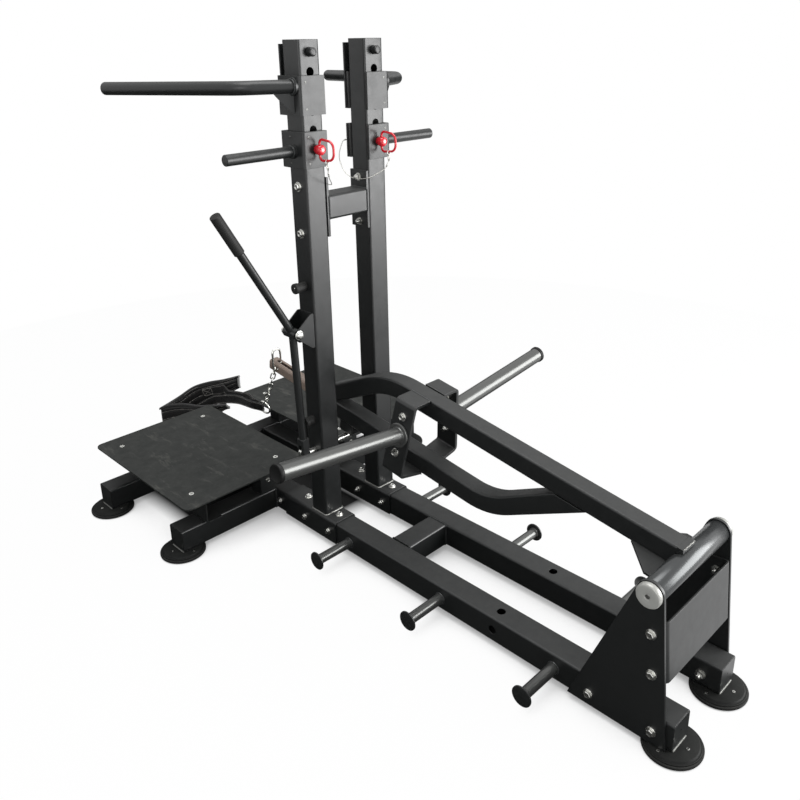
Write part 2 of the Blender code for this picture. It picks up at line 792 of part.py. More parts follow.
def make_lower_handle(side):
    """Wrap bracket with the short straight grip and the hole of the pull pin."""
    sheet = wrap_bracket(LOWER_WRAP_Z)
    grip = lathe(((WRAP_X - 0.002, 0), (WRAP_X - 0.002, 0.020), (WRAP_X + 0.007, 0.020),
                  (WRAP_X + 0.007, SHORT_GRIP_R), (SHORT_GRIP_END - 0.002, SHORT_GRIP_R),
                  (SHORT_GRIP_END, SHORT_GRIP_R - 0.002), (SHORT_GRIP_END, 0)),
                 (0, 0, SHORT_GRIP_Z), X, 18)
    hole = rod((UPRIGHT_X, 0.03, LOCK_Z), (UPRIGHT_X, 0.08, LOCK_Z), PULL_NOSE_R + RUN, 14)
    return mirror_mesh(carve(weld(sheet, grip), hole), side)


def make_pull_pin(side):
    """Lock pin with its knob, which is slotted for the ring."""
    start = WRAP_REAR + GAP
    end = start + KNOB_LENGTH
    profile = ((PULL_NOSE_Y, 0), (PULL_NOSE_Y, PULL_NOSE_R - 0.003), (PULL_NOSE_Y + 0.003, PULL_NOSE_R),
               (start, PULL_NOSE_R), (start, 0.0125), (start + 0.005, 0.0125),
               (start + 0.008, KNOB_R - 0.001), (start + 0.014, KNOB_R), (end - 0.006, KNOB_R - 0.001),
               (end - 0.001, KNOB_R - 0.006), (end, 0))
    pin = lathe(profile, (UPRIGHT_X, 0, LOCK_Z), Y, 16)
    slot = rod((UPRIGHT_X, RING_Y, LOCK_Z - 0.03), (UPRIGHT_X, RING_Y, LOCK_Z + 0.03),
               RING_WIRE + RUN, 10)
    return mirror_mesh(carve(pin, slot), side)


RING_Y = WRAP_REAR + 0.0125


def make_pull_ring(side):
    """D-shaped ring whose straight side runs through the knob."""
    corners = [(UPRIGHT_X, RING_Y, LOCK_Z - RING_HALF), (UPRIGHT_X, RING_Y, LOCK_Z + RING_HALF),
               (UPRIGHT_X, RING_Y + RING_DEPTH, LOCK_Z + RING_HALF * RING_TAPER),
               (UPRIGHT_X, RING_Y + RING_DEPTH, LOCK_Z - RING_HALF * RING_TAPER)]
    path = fillet(corners, [0.013, 0.013, 0.022, 0.022], 4, closed=True)
    return mirror_mesh(sweep(path, circle(RING_WIRE, 6), X, loop=True), side)


def smooth_route(points, step):
    """Points about one step apart on a smooth curve through the given ones."""
    points = [Vector(p) for p in points]
    guide = [points[0] * 2 - points[1]] + points + [points[-1] * 2 - points[-2]]
    dense = []
    for i in range(1, len(guide) - 2):
        p0, p1, p2, p3 = guide[i - 1:i + 3]
        for k in range(24):
            t = k / 24
            dense.append(0.5 * (2 * p1 + (p2 - p0) * t + (2 * p0 - 5 * p1 + 4 * p2 - p3) * t * t
                                + (3 * p1 - p0 - 3 * p2 + p3) * t ** 3))
    dense.append(points[-1])
    lengths = [0.0]
    for a, b in zip(dense, dense[1:]):
        lengths.append(lengths[-1] + (b - a).length)
    count = max(2, round(lengths[-1] / step))
    out = []
    k = 0
    for i in range(count + 1):
        target = lengths[-1] * i / count
        while k < len(dense) - 2 and lengths[k + 1] < target:
            k += 1
        share = (target - lengths[k]) / max(lengths[k + 1] - lengths[k], 1e-9)
        out.append(dense[k].lerp(dense[k + 1], min(share, 1)))
    return out


def make_cord(side):
    """Steel cord from the pull ring round the inside of the upright to the bracket's front lip."""
    ring_low = LOCK_Z - RING_HALF - RING_WIRE
    ring_rise = RING_HALF * (1 - RING_TAPER) * (0.0930 - RING_Y) / RING_DEPTH
    points = ((0.1224, 0.0930, ring_low + ring_rise - 2 * GAP), (0.1210, 0.0935, ring_low - 0.022),
              (0.1110, 0.0850, ring_low - 0.045), (0.0840, 0.0610, ring_low - 0.066),
              (0.0680, 0.0380, ring_low - 0.075), (0.0610, -0.0050, ring_low - 0.077),
              (0.0600, -0.0460, ring_low - 0.060),
              (0.0680, -0.0780, ring_low - 0.018), (0.0860, -0.0800, ring_low + 0.026),
              (0.0970, -0.0700, ring_low + 0.034),
              (0.1000, -WRAP_FRONT - 3 * GAP, ring_low + 0.036))
    curve = bpy.data.curves.new("cord", "CURVE")
    curve.dimensions = "3D"
    curve.bevel_depth = CORD_R
    curve.bevel_resolution = 2
    curve.use_fill_caps = True
    route = smooth_route(points, 0.0085)
    spline = curve.splines.new("POLY")
    spline.points.add(len(route) - 1)
    for point, at in zip(spline.points, route):
        point.co = (at.x * side, at.y, at.z, 1)
    return bpy.data.objects.new("cord", curve)


def build_hand_holds(machine):
    for name, side in SIDES:
        hang = "handle_swing_" + name
        pull = "pull_slide_" + name
        turn = "ring_turn_" + name
        machine.joint(hang, (side * UPRIGHT_X, 0, HOLE_TOP))
        machine.joint(pull, (side * UPRIGHT_X, RING_Y, LOCK_Z))
        machine.joint(turn, (side * UPRIGHT_X, RING_Y, LOCK_Z), pull)
        machine.add("upper_handle_" + name, make_upper_handle(side), charcoal_paint, hang)
        machine.add("upper_liner_" + name, make_liner(UPPER_WRAP_Z, side, None), liner_plastic, hang)
        lock_hole = rod((UPRIGHT_X, 0.03, LOCK_Z), (UPRIGHT_X, 0.06, LOCK_Z), PULL_NOSE_R + RUN, 14)
        machine.add("lower_handle_" + name, make_lower_handle(side), charcoal_paint)
        machine.add("lower_liner_" + name, make_liner(LOWER_WRAP_Z, side, [lock_hole]), liner_plastic)
        machine.add("pull_pin_" + name, make_pull_pin(side), red_plastic, pull)
        machine.add("pull_ring_" + name, make_pull_ring(side), red_plastic, turn)
        machine.add("pin_cord_" + name, make_cord(side), bright_zinc)


# Hand lever, latch and bumpers

def make_lever_bracket():
    """Channel with two pointed cheeks, and the bolt that the lever turns on."""
    base = UPRIGHT_OUT + GAP
    low, high = CHEEK_Z
    tip = Vector((LEVER_X, LEVER_Z))
    outline = fillet(((base, low), (tip.x + 0.026, tip.y), (base, high)), [0, CHEEK_TIP_R, 0], 6)
    outline = [Vector((base, low)), Vector((base + 0.010, low))] + outline[1:-1] + \
              [Vector((base + 0.010, high)), Vector((base, high))]
    channel = extrude(outline, -CHEEK_HALF, CHEEK_HALF, (X, Z, -Y))
    inside = box((base + CHEEK_T, tip.x + 0.1), (-CHEEK_HALF + CHEEK_T, CHEEK_HALF - CHEEK_T),
                 (low - 0.01, high + 0.01))
    channel = carve(channel, inside)
    reach = CHEEK_HALF + 0.009
    bolt = lathe(((-reach, 0), (-reach, 0.010), (-CHEEK_HALF, 0.010), (-CHEEK_HALF, LEVER_PIN_R),
                  (CHEEK_HALF, LEVER_PIN_R), (CHEEK_HALF, 0.0115), (reach - 0.004, 0.0115),
                  (reach, 0.006), (reach, 0)), (LEVER_X, 0, LEVER_Z), Y, 14)
    return weld(channel, bolt)


def make_lever():
    """Boss, long upper rod with its grip, and the hanging rod with a fork at its end."""
    pivot = Vector((LEVER_X, 0, LEVER_Z))
    lean = math.radians(LEVER_LEAN)
    hang = math.radians(LEVER_HANG)
    up = Vector((math.sin(lean), 0, math.cos(lean)))
    down = Vector((-math.sin(hang), 0, -math.cos(hang)))
    half = CHEEK_HALF - CHEEK_T - 0.002
    boss = rod(pivot - Y * half, pivot + Y * half, 0.0165, 20)
    grip_start = LEVER_REACH - LEVER_GRIP
    long_rod = lathe(((0, 0), (0, LEVER_ROD_R), (grip_start, LEVER_ROD_R), (grip_start, LEVER_GRIP_R),
                      (LEVER_REACH - 0.002, LEVER_GRIP_R), (LEVER_REACH, LEVER_GRIP_R - 0.002),
                      (LEVER_REACH, 0)), pivot, up, 16)
    fork_top = LEVER_DROP - 0.058
    short_rod = rod(pivot, pivot + down * (fork_top + 0.002), LEVER_ROD_R, 16)
    across = Y.cross(down)
    fork = extrude(rounded_rect(0.028, 0.030, 0.003, 2), fork_top, LEVER_DROP + 0.014, (across, Y, down))
    fork.data.transform(Matrix.Translation(pivot))
    slot = extrude(((-0.03, -0.0068), (0.03, -0.0068), (0.03, 0.0068), (-0.03, 0.0068)),
                   LEVER_DROP - 0.036, LEVER_DROP + 0.03, (across, Y, down))
    slot.data.transform(Matrix.Translation(pivot))
    fork = carve(fork, slot)
    joint = pivot + down * LEVER_DROP
    cross_pin = rod(joint - Y * 0.019, joint + Y * 0.019, 0.005, 12)
    lever = weld(boss, long_rod)
    lever = weld(lever, short_rod)
    lever = weld(lever, fork)
    lever = weld(lever, cross_pin)
    bore = rod(pivot - Y * 0.1, pivot + Y * 0.1, LEVER_PIN_R + RUN, 14)
    return carve(lever, bore)


def make_latch():
    """Round bolt through the upright; its flat eye is slotted where the fork's pin lifts."""
    end_x = LEVER_X - LEVER_DROP * math.sin(math.radians(LEVER_HANG))
    neck = end_x - 0.016
    bolt = lathe(((LATCH_TIP, 0), (LATCH_TIP, LATCH_R - 0.002), (LATCH_TIP + 0.002, LATCH_R),
                  (neck, LATCH_R), (neck, 0)), (0, 0, LATCH_Z), X, 16)
    eye = extrude(rounded_rect(0.040, 0.034, 0.008, 3), -0.006, 0.006, (X, Z, -Y))
    eye.data.transform(Matrix.Translation((end_x, 0, LATCH_Z + 0.003)))
    slot = extrude(rounded_rect(0.0114, 0.0205, 0.0056, 4), -0.02, 0.02, (X, Z, -Y))
    slot.data.transform(Matrix.Translation((end_x, 0, LATCH_Z + 0.0033)))
    return carve(weld(bolt, eye), slot)


def make_bumper(z, end):
    start = UPRIGHT_OUT + GAP
    profile = ((start, 0), (start, 0.0150), (end - 0.014, 0.0150), (end - 0.012, 0.0165),
               (end - 0.0015, 0.0165), (end, 0.0150), (end, 0.004), (end - 0.003, 0.004), (end - 0.003, 0))
    return lathe(profile, (0, 0, z), X, 16)


def build_latch(machine):
    machine.joint("lever_turn", (LEVER_X, 0, LEVER_Z))
    machine.joint("latch_slide", (LATCH_TIP, 0, LATCH_Z))
    machine.add("lever_bracket", make_lever_bracket(), charcoal_paint)
    machine.add("release_lever", make_lever(), charcoal_paint, "lever_turn")
    machine.add("latch_pin", make_latch(), bright_zinc, "latch_slide")
    machine.add("lower_bumper", make_bumper(BUMPER_Z[0], BUMPER_END), black_rubber)
    machine.add("upper_bumper", make_bumper(BUMPER_Z[1], BUMPER_HIGH_END), black_rubber)


# Rear hinge

def tangent_point(foot, centre, radius, side):
    """Where a line from the foot touches the circle, on the given side."""
    reach = centre - foot
    turn = math.asin(radius / reach.length) * side
    along = math.sqrt(reach.length ** 2 - radius ** 2)
    direction = Vector((reach.x * math.cos(turn) - reach.y * math.sin(turn),
                        reach.x * math.sin(turn) + reach.y * math.cos(turn))).normalized()
    return foot + direction * along


def make_rear_plate(side):
    """Tapered side plate with a round head about the hinge."""
    head = Vector((HINGE_Y, HINGE_Z))
    front_foot = Vector((REAR_PLATE_FOOT[0], FOOT_H))
    rear_foot = Vector((REAR_PLATE_FOOT[1], FOOT_H))
    front = tangent_point(front_foot, head, REAR_PLATE_HEAD_R, 1) - head
    rear = tangent_point(rear_foot, head, REAR_PLATE_HEAD_R, -1) - head
    a0 = math.atan2(rear.y, rear.x)
    a1 = math.atan2(front.y, front.x)
    arc = [head + Vector((math.cos(a0 + (a1 - a0) * i / 12), math.sin(a0 + (a1 - a0) * i / 12)))
           * REAR_PLATE_HEAD_R for i in range(13)]
    outline = [front_foot, rear_foot] + arc
    x0 = RAIL_OUT + GAP
    plate = extrude(outline, x0, x0 + REAR_PLATE_T, (Y, Z, X))
    bore = rod((0.1, HINGE_Y, HINGE_Z), (0.2, HINGE_Y, HINGE_Z), SHAFT_R + RUN, 20)
    return mirror_mesh(carve(plate, bore), side)


def make_rear_tie():
    """Bent cross plate whose flanges bolt inside the two side plates."""
    half = RAIL_OUT - GAP
    outline = strip(((half, -TIE_FLANGE), (half, 0), (-half, 0), (-half, -TIE_FLANGE)), -TIE_T, 0.009)
    tie = extrude(outline, -TIE_LENGTH / 2, TIE_LENGTH / 2, (X, Y, Z))
    tie.data.transform(Matrix.Translation((0, *TIE_MID)) @ Matrix.Rotation(math.radians(TIE_LEAN), 4, "X"))
    return tie


def make_hinge_shaft():
    """Shaft with a chamfered bright cap at each end."""
    inside = RAIL_OUT + 2 * GAP + REAR_PLATE_T
    end = inside + CAP_T
    half = ((0, SHAFT_R), (inside, SHAFT_R), (inside, CAP_R), (end - 0.003, CAP_R),
            (end, CAP_R - 0.003), (end, 0.007), (end - 0.002, 0.0055), (end - 0.002, 0))
    profile = [(-along, radius) for along, radius in reversed(half[1:])] + list(half[1:])
    return lathe(profile, (0, HINGE_Y, HINGE_Z), X, 20)


def build_rear_hinge(machine):
    for name, side in SIDES:
        machine.add("rear_plate_" + name, make_rear_plate(side), charcoal_paint)
    machine.add("rear_tie", make_rear_tie(), charcoal_paint)
    machine.add("hinge_shaft", make_hinge_shaft(), bright_zinc)


# Lever arm

def line_through(a, b):
    """Height at y = 0 and rise per metre of the line through two points."""
    rise = (b[1] - a[1]) / (b[0] - a[0])
    return a[1] - rise * a[0], rise


UPPER_LINE = line_through(UPPER_CORNER, UPPER_END)
NECK_LINE = line_through(UPPER_LANDING, UPPER_CORNER)
LOWER_LINE = line_through(LOWER_END, LOWER_CORNER)
RISER_LINE = line_through(LOWER_CORNER, LOWER_LANDING)


def meet(line_a, line_b):
    y = (line_b[0] - line_a[0]) / (line_a[1] - line_b[1])
    return Vector((0, y, line_a[0] + line_a[1] * y))


def on_line(line, y):
    return Vector((0, y, line[0] + line[1] * y))


def line_normal(line):
    return Vector((0, -line[1], 1)).normalized()


def make_upper_tube():
    """From its hinge hub forward, then bent down onto the lower tube."""
    outer, inner = tube_outlines(ARM)
    corner = meet(UPPER_LINE, NECK_LINE)
    landing_normal = line_normal(LOWER_LINE)
    landing = on_line(LOWER_LINE, 0) + landing_normal * (ARM / 2 + GAP)
    start, end = on_line(UPPER_LINE, UPPER_END[0]), on_line(NECK_LINE, UPPER_LANDING[0])
    path = fillet((start, corner, end), UPPER_BEND, 8)
    tube = sweep(path, outer, Z, inner, cuts=(None, (landing, landing_normal)))
    cope = rod((-0.1, HINGE_Y, HINGE_Z), (0.1, HINGE_Y, HINGE_Z), HUB_R - 0.002, 24)
    return weld(carve(tube, cope), make_hub())


def make_lower_tube():
    """From the closed front end back and up to the upper tube, with the catch welded under it."""
    outer, inner = tube_outlines(ARM)
    corner = meet(LOWER_LINE, RISER_LINE)
    roof_normal = line_normal(UPPER_LINE)
    roof = on_line(UPPER_LINE, LOWER_LANDING[0]) - roof_normal * (ARM / 2 + GAP)
    start, end = on_line(LOWER_LINE, LOWER_FRONT), on_line(RISER_LINE, LOWER_LANDING[0])
    path = fillet((start, corner, end), LOWER_BEND, 8)
    tube = sweep(path, outer, Z, inner, (True, False), cuts=(None, (roof, roof_normal)))
    return weld(tube, make_catch())


def make_catch():
    """Channel under the arm that sits on the latch pin."""
    along = Vector((0, 1, LOWER_LINE[1])).normalized()
    normal = line_normal(LOWER_LINE)
    centre = on_line(LOWER_LINE, 0)
    centre += along * (Vector((0, 0, LATCH_Z)) - centre).dot(along)
    seat = (Vector((0, 0, LATCH_Z)) - centre).length - LATCH_R - GAP
    top = -ARM / 2 + 0.001
    outline = strip(((-CATCH_HALF, top), (-CATCH_HALF, -seat), (CATCH_HALF, -seat), (CATCH_HALF, top)),
                    -CATCH_T, 0.002)
    catch = extrude(outline, -CATCH_DEPTH / 2, CATCH_DEPTH / 2, (X, normal, -along))
    catch.data.transform(Matrix.Translation(centre))
    return catch


def make_tongue():
    """Slotted bar in front of the arm; the hook goes down its slot and out of its side hole."""
    along = Vector((0, 1, LOWER_LINE[1])).normalized()
    outer, inner = tube_outlines(TONGUE, TONGUE_WALL)
    start = on_line(LOWER_LINE, TONGUE_FRONT)
    end = on_line(LOWER_LINE, LOWER_FRONT) - along * GAP
    bar = sweep((start, end), outer, line_normal(LOWER_LINE), inner)
    middle = on_line(LOWER_LINE, sum(SLOT_Y) / 2)
    length = (SLOT_Y[1] - SLOT_Y[0]) / along.y
    slot = extrude(rounded_rect(SLOT_W, length, SLOT_W / 2 - 0.0005, 4), 0, TONGUE, (X, along, Z))
    slot.data.transform(Matrix.Translation(middle))
    hole_z = HOOK_LOW + HOOK_HOLE_R - HOOK_WIRE - GAP
    hole = rod((0.010, HOOK_Y, hole_z), (0.040, HOOK_Y, hole_z), HOOK_HOLE_R, 20)
    return carve(bar, slot, hole)


def make_hub():
    """Hinge tube with the two flat webs that brace the arm."""
    half = RAIL_OUT - 2 * GAP
    tube = lathe(((-half, SHAFT_R + RUN), (-half, HUB_R), (half, HUB_R), (half, SHAFT_R + RUN)),
                 (0, HINGE_Y, HINGE_Z), X, 24, closed=True)
    along = Vector((0, 1, UPPER_LINE[1])).normalized()
    normal = line_normal(UPPER_LINE)
    base = on_line(UPPER_LINE, HUB_WEB_Y) - normal * (ARM / 2)
    inner = ARM / 2 - 0.001
    reach = 0.106 / along.y
    outline = ((inner, 0), (HUB_WEB_X, HUB_WEB_X - inner + 0.003), (HUB_WEB_X, reach), (inner, reach))
    for side in (1, -1):
        web = extrude([(side * a, b) for a, b in outline], 0, HUB_WEB_T, (X, along, normal))
        web.data.transform(Matrix.Translation(base))
        tube = weld(tube, web)
    return tube


def arm_matrix():
    """The arm's tilted frame: X across, Y rearward along the arm, Z away from its top."""
    origin = on_line(UPPER_LINE, HORN_BRACKET_Y)
    return Matrix.Translation(origin) @ Matrix.Rotation(math.atan(UPPER_LINE[1]), 4, "X")


def make_horn_bracket(side):
    """Heavy bent plate from the arm's top, down and back under to the lower tube."""
    inner = ARM / 2 + GAP
    rise = math.atan2(HORN_WALL_FOOT[1] - HORN_FOOT_N, HORN_WALL_FOOT[0] - inner)
    foot = (inner + HORN_BRACKET_T * math.sin(rise), HORN_FOOT_N)
    outline = strip(((inner, HORN_WALL_TOP[1]), HORN_WALL_TOP, HORN_WALL_FOOT, foot),
                    HORN_BRACKET_T, 0.016)
    bracket = extrude(outline, -HORN_BRACKET_W / 2, HORN_BRACKET_W / 2, (X, Z, -Y))
    bracket.data.transform(arm_matrix())
    return mirror_mesh(bracket, side)


def wall_x(n):
    """Outer face of the horn bracket's wall at height n."""
    share = (HORN_WALL_TOP[1] - n) / (HORN_WALL_TOP[1] - HORN_WALL_FOOT[1])
    return HORN_WALL_TOP[0] + share * (HORN_WALL_FOOT[0] - HORN_WALL_TOP[0])


def make_horn(side):
    """Hollow horn with a welded collar and a solid end cap."""
    slope = math.atan2(HORN_WALL_FOOT[0] - HORN_WALL_TOP[0], HORN_WALL_TOP[1] - HORN_WALL_FOOT[1])
    axis = Vector((math.cos(slope), 0, math.sin(slope)))
    root = Vector((wall_x(HORN_N), 0, HORN_N)) + axis * GAP
    length = (HORN_END - root.x) / axis.x
    cap = length - HORN_CAP_T
    profile = ((cap + 0.002, 0), (cap + 0.002, HORN_BORE), (0, HORN_BORE), (0, HORN_COLLAR_R),
               (HORN_COLLAR_T - 0.002, HORN_COLLAR_R), (HORN_COLLAR_T, HORN_COLLAR_R - 0.002),
               (HORN_COLLAR_T, HORN_R), (cap, HORN_R), (cap, HORN_CAP_R - 0.001),
               (cap + 0.001, HORN_CAP_R), (length - 0.002, HORN_CAP_R),
               (length, HORN_CAP_R - 0.002), (length, 0))
    horn = lathe(profile, root, axis, 20)
    horn.data.transform(arm_matrix())
    return mirror_mesh(horn, side)


def build_arm(machine):
    machine.joint("arm_lift", (0, HINGE_Y, HINGE_Z))
    machine.add("arm_upper_tube", make_upper_tube(), charcoal_paint, "arm_lift")
    machine.add("arm_lower_tube", make_lower_tube(), charcoal_paint, "arm_lift")
    machine.add("arm_tongue", make_tongue(), taupe_paint, "arm_lift")
    for name, side in SIDES:
        machine.add("horn_bracket_" + name, make_horn_bracket(side), charcoal_paint, "arm_lift")
        machine.add("weight_horn_" + name, make_horn(side), charcoal_paint, "arm_lift")


# Hook, chain, ring and hip belt

HOOK_MID = Vector((HOOK_R, HOOK_Y, HOOK_LOW + HOOK_R))
HOOK_HANG = HOOK_MID + Vector((HOOK_R, 0, -HOOK_R)) * math.sqrt(0.5)


def make_hook():
    """Oval snap hook through the tongue's slot and side hole."""
    low = HOOK_MID.z
    high = low + HOOK_TALL
    path = []
    for i in range(9):
        a = math.pi * i / 8
        path.append(Vector((HOOK_MID.x + HOOK_R * math.cos(a), HOOK_Y, high + HOOK_R * math.sin(a))))
    for i in range(9):
        a = math.pi + math.pi * i / 8
        path.append(Vector((HOOK_MID.x + HOOK_R * math.cos(a), HOOK_Y, low + HOOK_R * math.sin(a))))
    return sweep(path, circle(HOOK_WIRE, 8), Y, loop=True)


def link_blank(half):
    """One chain link in its own XZ plane, long along Z; half is from its middle to the crown's wire."""
    straight = half - LINK_SIDE
    path = []
    for centre, start in ((straight, 0), (-straight, math.pi)):
        for i in range(6):
            a = start + math.pi * i / 5
            path.append(Vector((LINK_SIDE * math.cos(a), 0, centre + LINK_SIDE * math.sin(a))))
    return sweep(path, circle(LINK_WIRE, 6), Y, loop=True)


def chain_ends():
    """Centres of the first and last link's crowns, and the way down between them."""
    down = (HIP_RING_AT - HOOK_HANG).normalized()
    lean = math.sqrt(1 - Vector((1, 0, 1)).normalized().dot(down) ** 2)
    top_grip = (HOOK_WIRE + LINK_WIRE + GAP) / lean + HOOK_GRIP_SPARE
    ring_grip = HIP_RING_WIRE + LINK_WIRE + GAP
    start = HOOK_HANG - down * top_grip
    end_reach = (HIP_RING_AT - HOOK_HANG).length - HIP_RING_R + ring_grip
    return start, down, end_reach + top_grip


def chain_turns():
    """Normals of the first and last link: round the hook's wire and round the ring's wire."""
    _, down, _ = chain_ends()
    first = Vector((1, 0, 1)).normalized()
    first = (first - down * first.dot(down)).normalized()
    last = (STRAP_PULL - down * STRAP_PULL.dot(down)).normalized()
    return first, last


def make_chain():
    """Links joined crown to crown, each a quarter turn on, with a slow twist along the chain."""
    start, down, length = chain_ends()
    first, last = chain_turns()
    twist = math.atan2(first.cross(last).dot(down), first.dot(last))
    pitch = (length - 2 * LINK_WIRE + LINK_BITE) / LINK_COUNT
    half = (pitch + 2 * LINK_WIRE - LINK_BITE) / 2
    if LINK_COUNT % 2 == 0:
        twist -= math.pi / 2
    chain = None
    for i in range(LINK_COUNT):
        turn = i * math.pi / 2 + twist * i / (LINK_COUNT - 1)
        normal = Matrix.Rotation(turn, 4, down) @ first
        centre = start + down * (half + pitch * i)
        side = normal.cross(-down)
        link = link_blank(half)
        basis = Matrix((side, normal, -down)).transposed().to_4x4()
        if basis.determinant() < 0:
            basis = Matrix((-side, normal, -down)).transposed().to_4x4()
        link.data.transform(Matrix.Translation(centre) @ basis)
        chain = link if chain is None else weld(chain, link)
    return chain


def ring_axes():
    """Toward the chain, across the ring's plane, toward the strap, and along the strap's width."""
    _, down, _ = chain_ends()
    _, last = chain_turns()
    across = -down.cross(last)
    pull = (STRAP_PULL - across * STRAP_PULL.dot(across)).normalized()
    return -down, across, pull, across.cross(pull)


def make_hip_ring():
    up, across, _, _ = ring_axes()
    out = up.cross(across)
    path = [HIP_RING_AT + (out * math.cos(a) + up * math.sin(a)) * HIP_RING_R
            for a in (2 * math.pi * i / 24 for i in range(24))]
    return sweep(path, circle(HIP_RING_WIRE, 8), across, loop=True)


def belt_line(shares):
    """Top edge of the pad at shares of its length."""
    route = smooth_route(PAD_EDGE, 0.008)
    return [route[min(round(s * (len(route) - 1)), len(route) - 1)] for s in shares]


def pad_axes(share, ahead):
    """Up the pad's width and out of its face at a share of its length; the near end leans outward."""
    face = Vector((ahead.y, -ahead.x, 0)).normalized()
    left = max(0, 1 - share / PAD_LEAN_SHARE)
    lean = math.radians(PAD_LEAN) * left * left * (3 - 2 * left)
    return Z * math.cos(lean) - face * math.sin(lean), face * math.cos(lean) + Z * math.sin(lean)


def make_pad():
    """Padded band on edge: crowned faces, drawn-in edges, deeper at the back than at the ends."""
    count = 44
    edge = belt_line([i / count for i in range(count + 1)])
    bm = bmesh.new()
    rings = []
    for i, top in enumerate(edge):
        share = i / count
        ahead = edge[min(i + 1, count)] - edge[max(i - 1, 0)]
        up, across = pad_axes(share, ahead)
        depth = PAD_END_H + (PAD_BACK_H - PAD_END_H) * math.sin(math.pi * share) ** 1.2
        plump = PAD_T / 2 * (0.55 + 0.45 * min(1, 8 * min(share, 1 - share)))
        ring = []
        for a in (2 * math.pi * k / 12 for k in range(12)):
            reach = abs(math.cos(a)) ** 0.55 * (1 if math.cos(a) > 0 else -1)
            lift = abs(math.sin(a)) ** 0.55 * (1 if math.sin(a) > 0 else -1)
            ring.append(bm.verts.new(top + across * plump * reach + up * depth / 2 * (lift - 1)))
        rings.append(ring)
    for a, b in zip(rings, rings[1:]):
        bridge(bm, a, b)
    bm.faces.new(rings[0])
    bm.faces.new(rings[-1])
    return blank(bm)


def ribbon(points, width_axes, width, thickness):
    """Flat strap with the direction of its width given at each point."""
    section = ((-thickness / 2, -width / 2), (thickness / 2, -width / 2), (thickness / 2, width / 2),
               (-thickness / 2, width / 2))
    return sweep(points, section, width_axes[0], ups=width_axes)


def make_strap():
    """One webbing strap from the far end of the pad, through the ring, to the near end."""
    _, across, out, width = ring_axes()
    if across.x < 0:
        across = -across
    if width.z < 0:
        width = -width
    route = smooth_route(PAD_EDGE, 0.008)
    stand = PAD_T / 2 + STRAP_T / 2 + GAP

    def inside(index, drop, peel):
        up, face = pad_axes(index / (len(route) - 1), route[index + 1] - route[index - 1])
        return route[index] + face * (stand + peel) - up * drop

    peel = STRAP_PEEL + (0.0002,) * len(STRAP_SEWN_FAR)
    near = [inside(i, STRAP_NEAR_DROP, peel[k]) for k, i in enumerate(STRAP_SEWN_NEAR)]
    far = [inside(len(route) - 1 - i, STRAP_FAR_DROP, peel[k])
           for k, i in enumerate(reversed(STRAP_SEWN_FAR))][::-1]
    at = HIP_RING_AT
    turn = [at + out * (LOOP_AT - LOOP_R * math.cos(a)) + across * LOOP_R * math.sin(a)
            for a in (math.pi * (i / 6 - 0.5) for i in range(7))]
    leg = [at + out * 0.040 + across * side * 0.0072 for side in (-1, 1)]
    away = [at + out * 0.062 + across * side * 0.0095 for side in (-1, 1)]
    path = smooth_route(far + [Vector(p) for p in STRAP_FAR] + [away[0], leg[0], turn[0]], 0.0095)[:-1]
    path += turn
    path += smooth_route([turn[-1], leg[1], away[1]] + [Vector(p) for p in STRAP_NEAR] + near, 0.0095)[1:]
    widths = []
    for point in path:
        share = min(1, max(0, ((point - at).length - 0.045) / 0.100))
        widths.append(width.lerp(Z, share * share * (3 - 2 * share)))
    return ribbon(path, widths, STRAP_W, STRAP_T)


def build_belt(machine):
    machine.joint("hook_swing", (HOOK_MID.x, HOOK_Y, HOOK_LOW), "arm_lift")
    machine.joint("chain_swing", HOOK_HANG, "hook_swing")
    up, _, _, _ = ring_axes()
    machine.joint("ring_swing", HIP_RING_AT + up * HIP_RING_R, "chain_swing")
    machine.joint("belt_swing", HIP_RING_AT, "ring_swing")
    machine.add("snap_hook", make_hook(), bright_zinc, "hook_swing")
    machine.add("lift_chain", make_chain(), bright_zinc, "chain_swing")
    machine.add("hip_ring", make_hip_ring(), bright_zinc, "ring_swing")
    machine.add("belt_strap", make_strap(), belt_cloth, "belt_swing")
    machine.add("belt_pad", make_pad(), belt_cloth, "belt_swing")


def main():
    for thing in list(bpy.data.objects):
        bpy.data.objects.remove(thing)
    machine = Machine()
    build_floor_frame(machine)
    build_uprights(machine)
    build_hand_holds(machine)
    build_latch(machine)
    build_rear_hinge(machine)
    build_arm(machine)
    build_belt(machine)
    machine.centre()


main()
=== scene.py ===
"""The belt squat machine, dressed: materials, fasteners, weld beads, hook, chain and padded belt.

Lengths are metres. Pieces are drawn in the machine's own frame, whose origin lies between the
uprights on the floor, and moved by SHIFT into the row frame. A side is "near" (+X, with the hand
lever) or "far", and a far piece is its near one mirrored.
"""
import json
import math

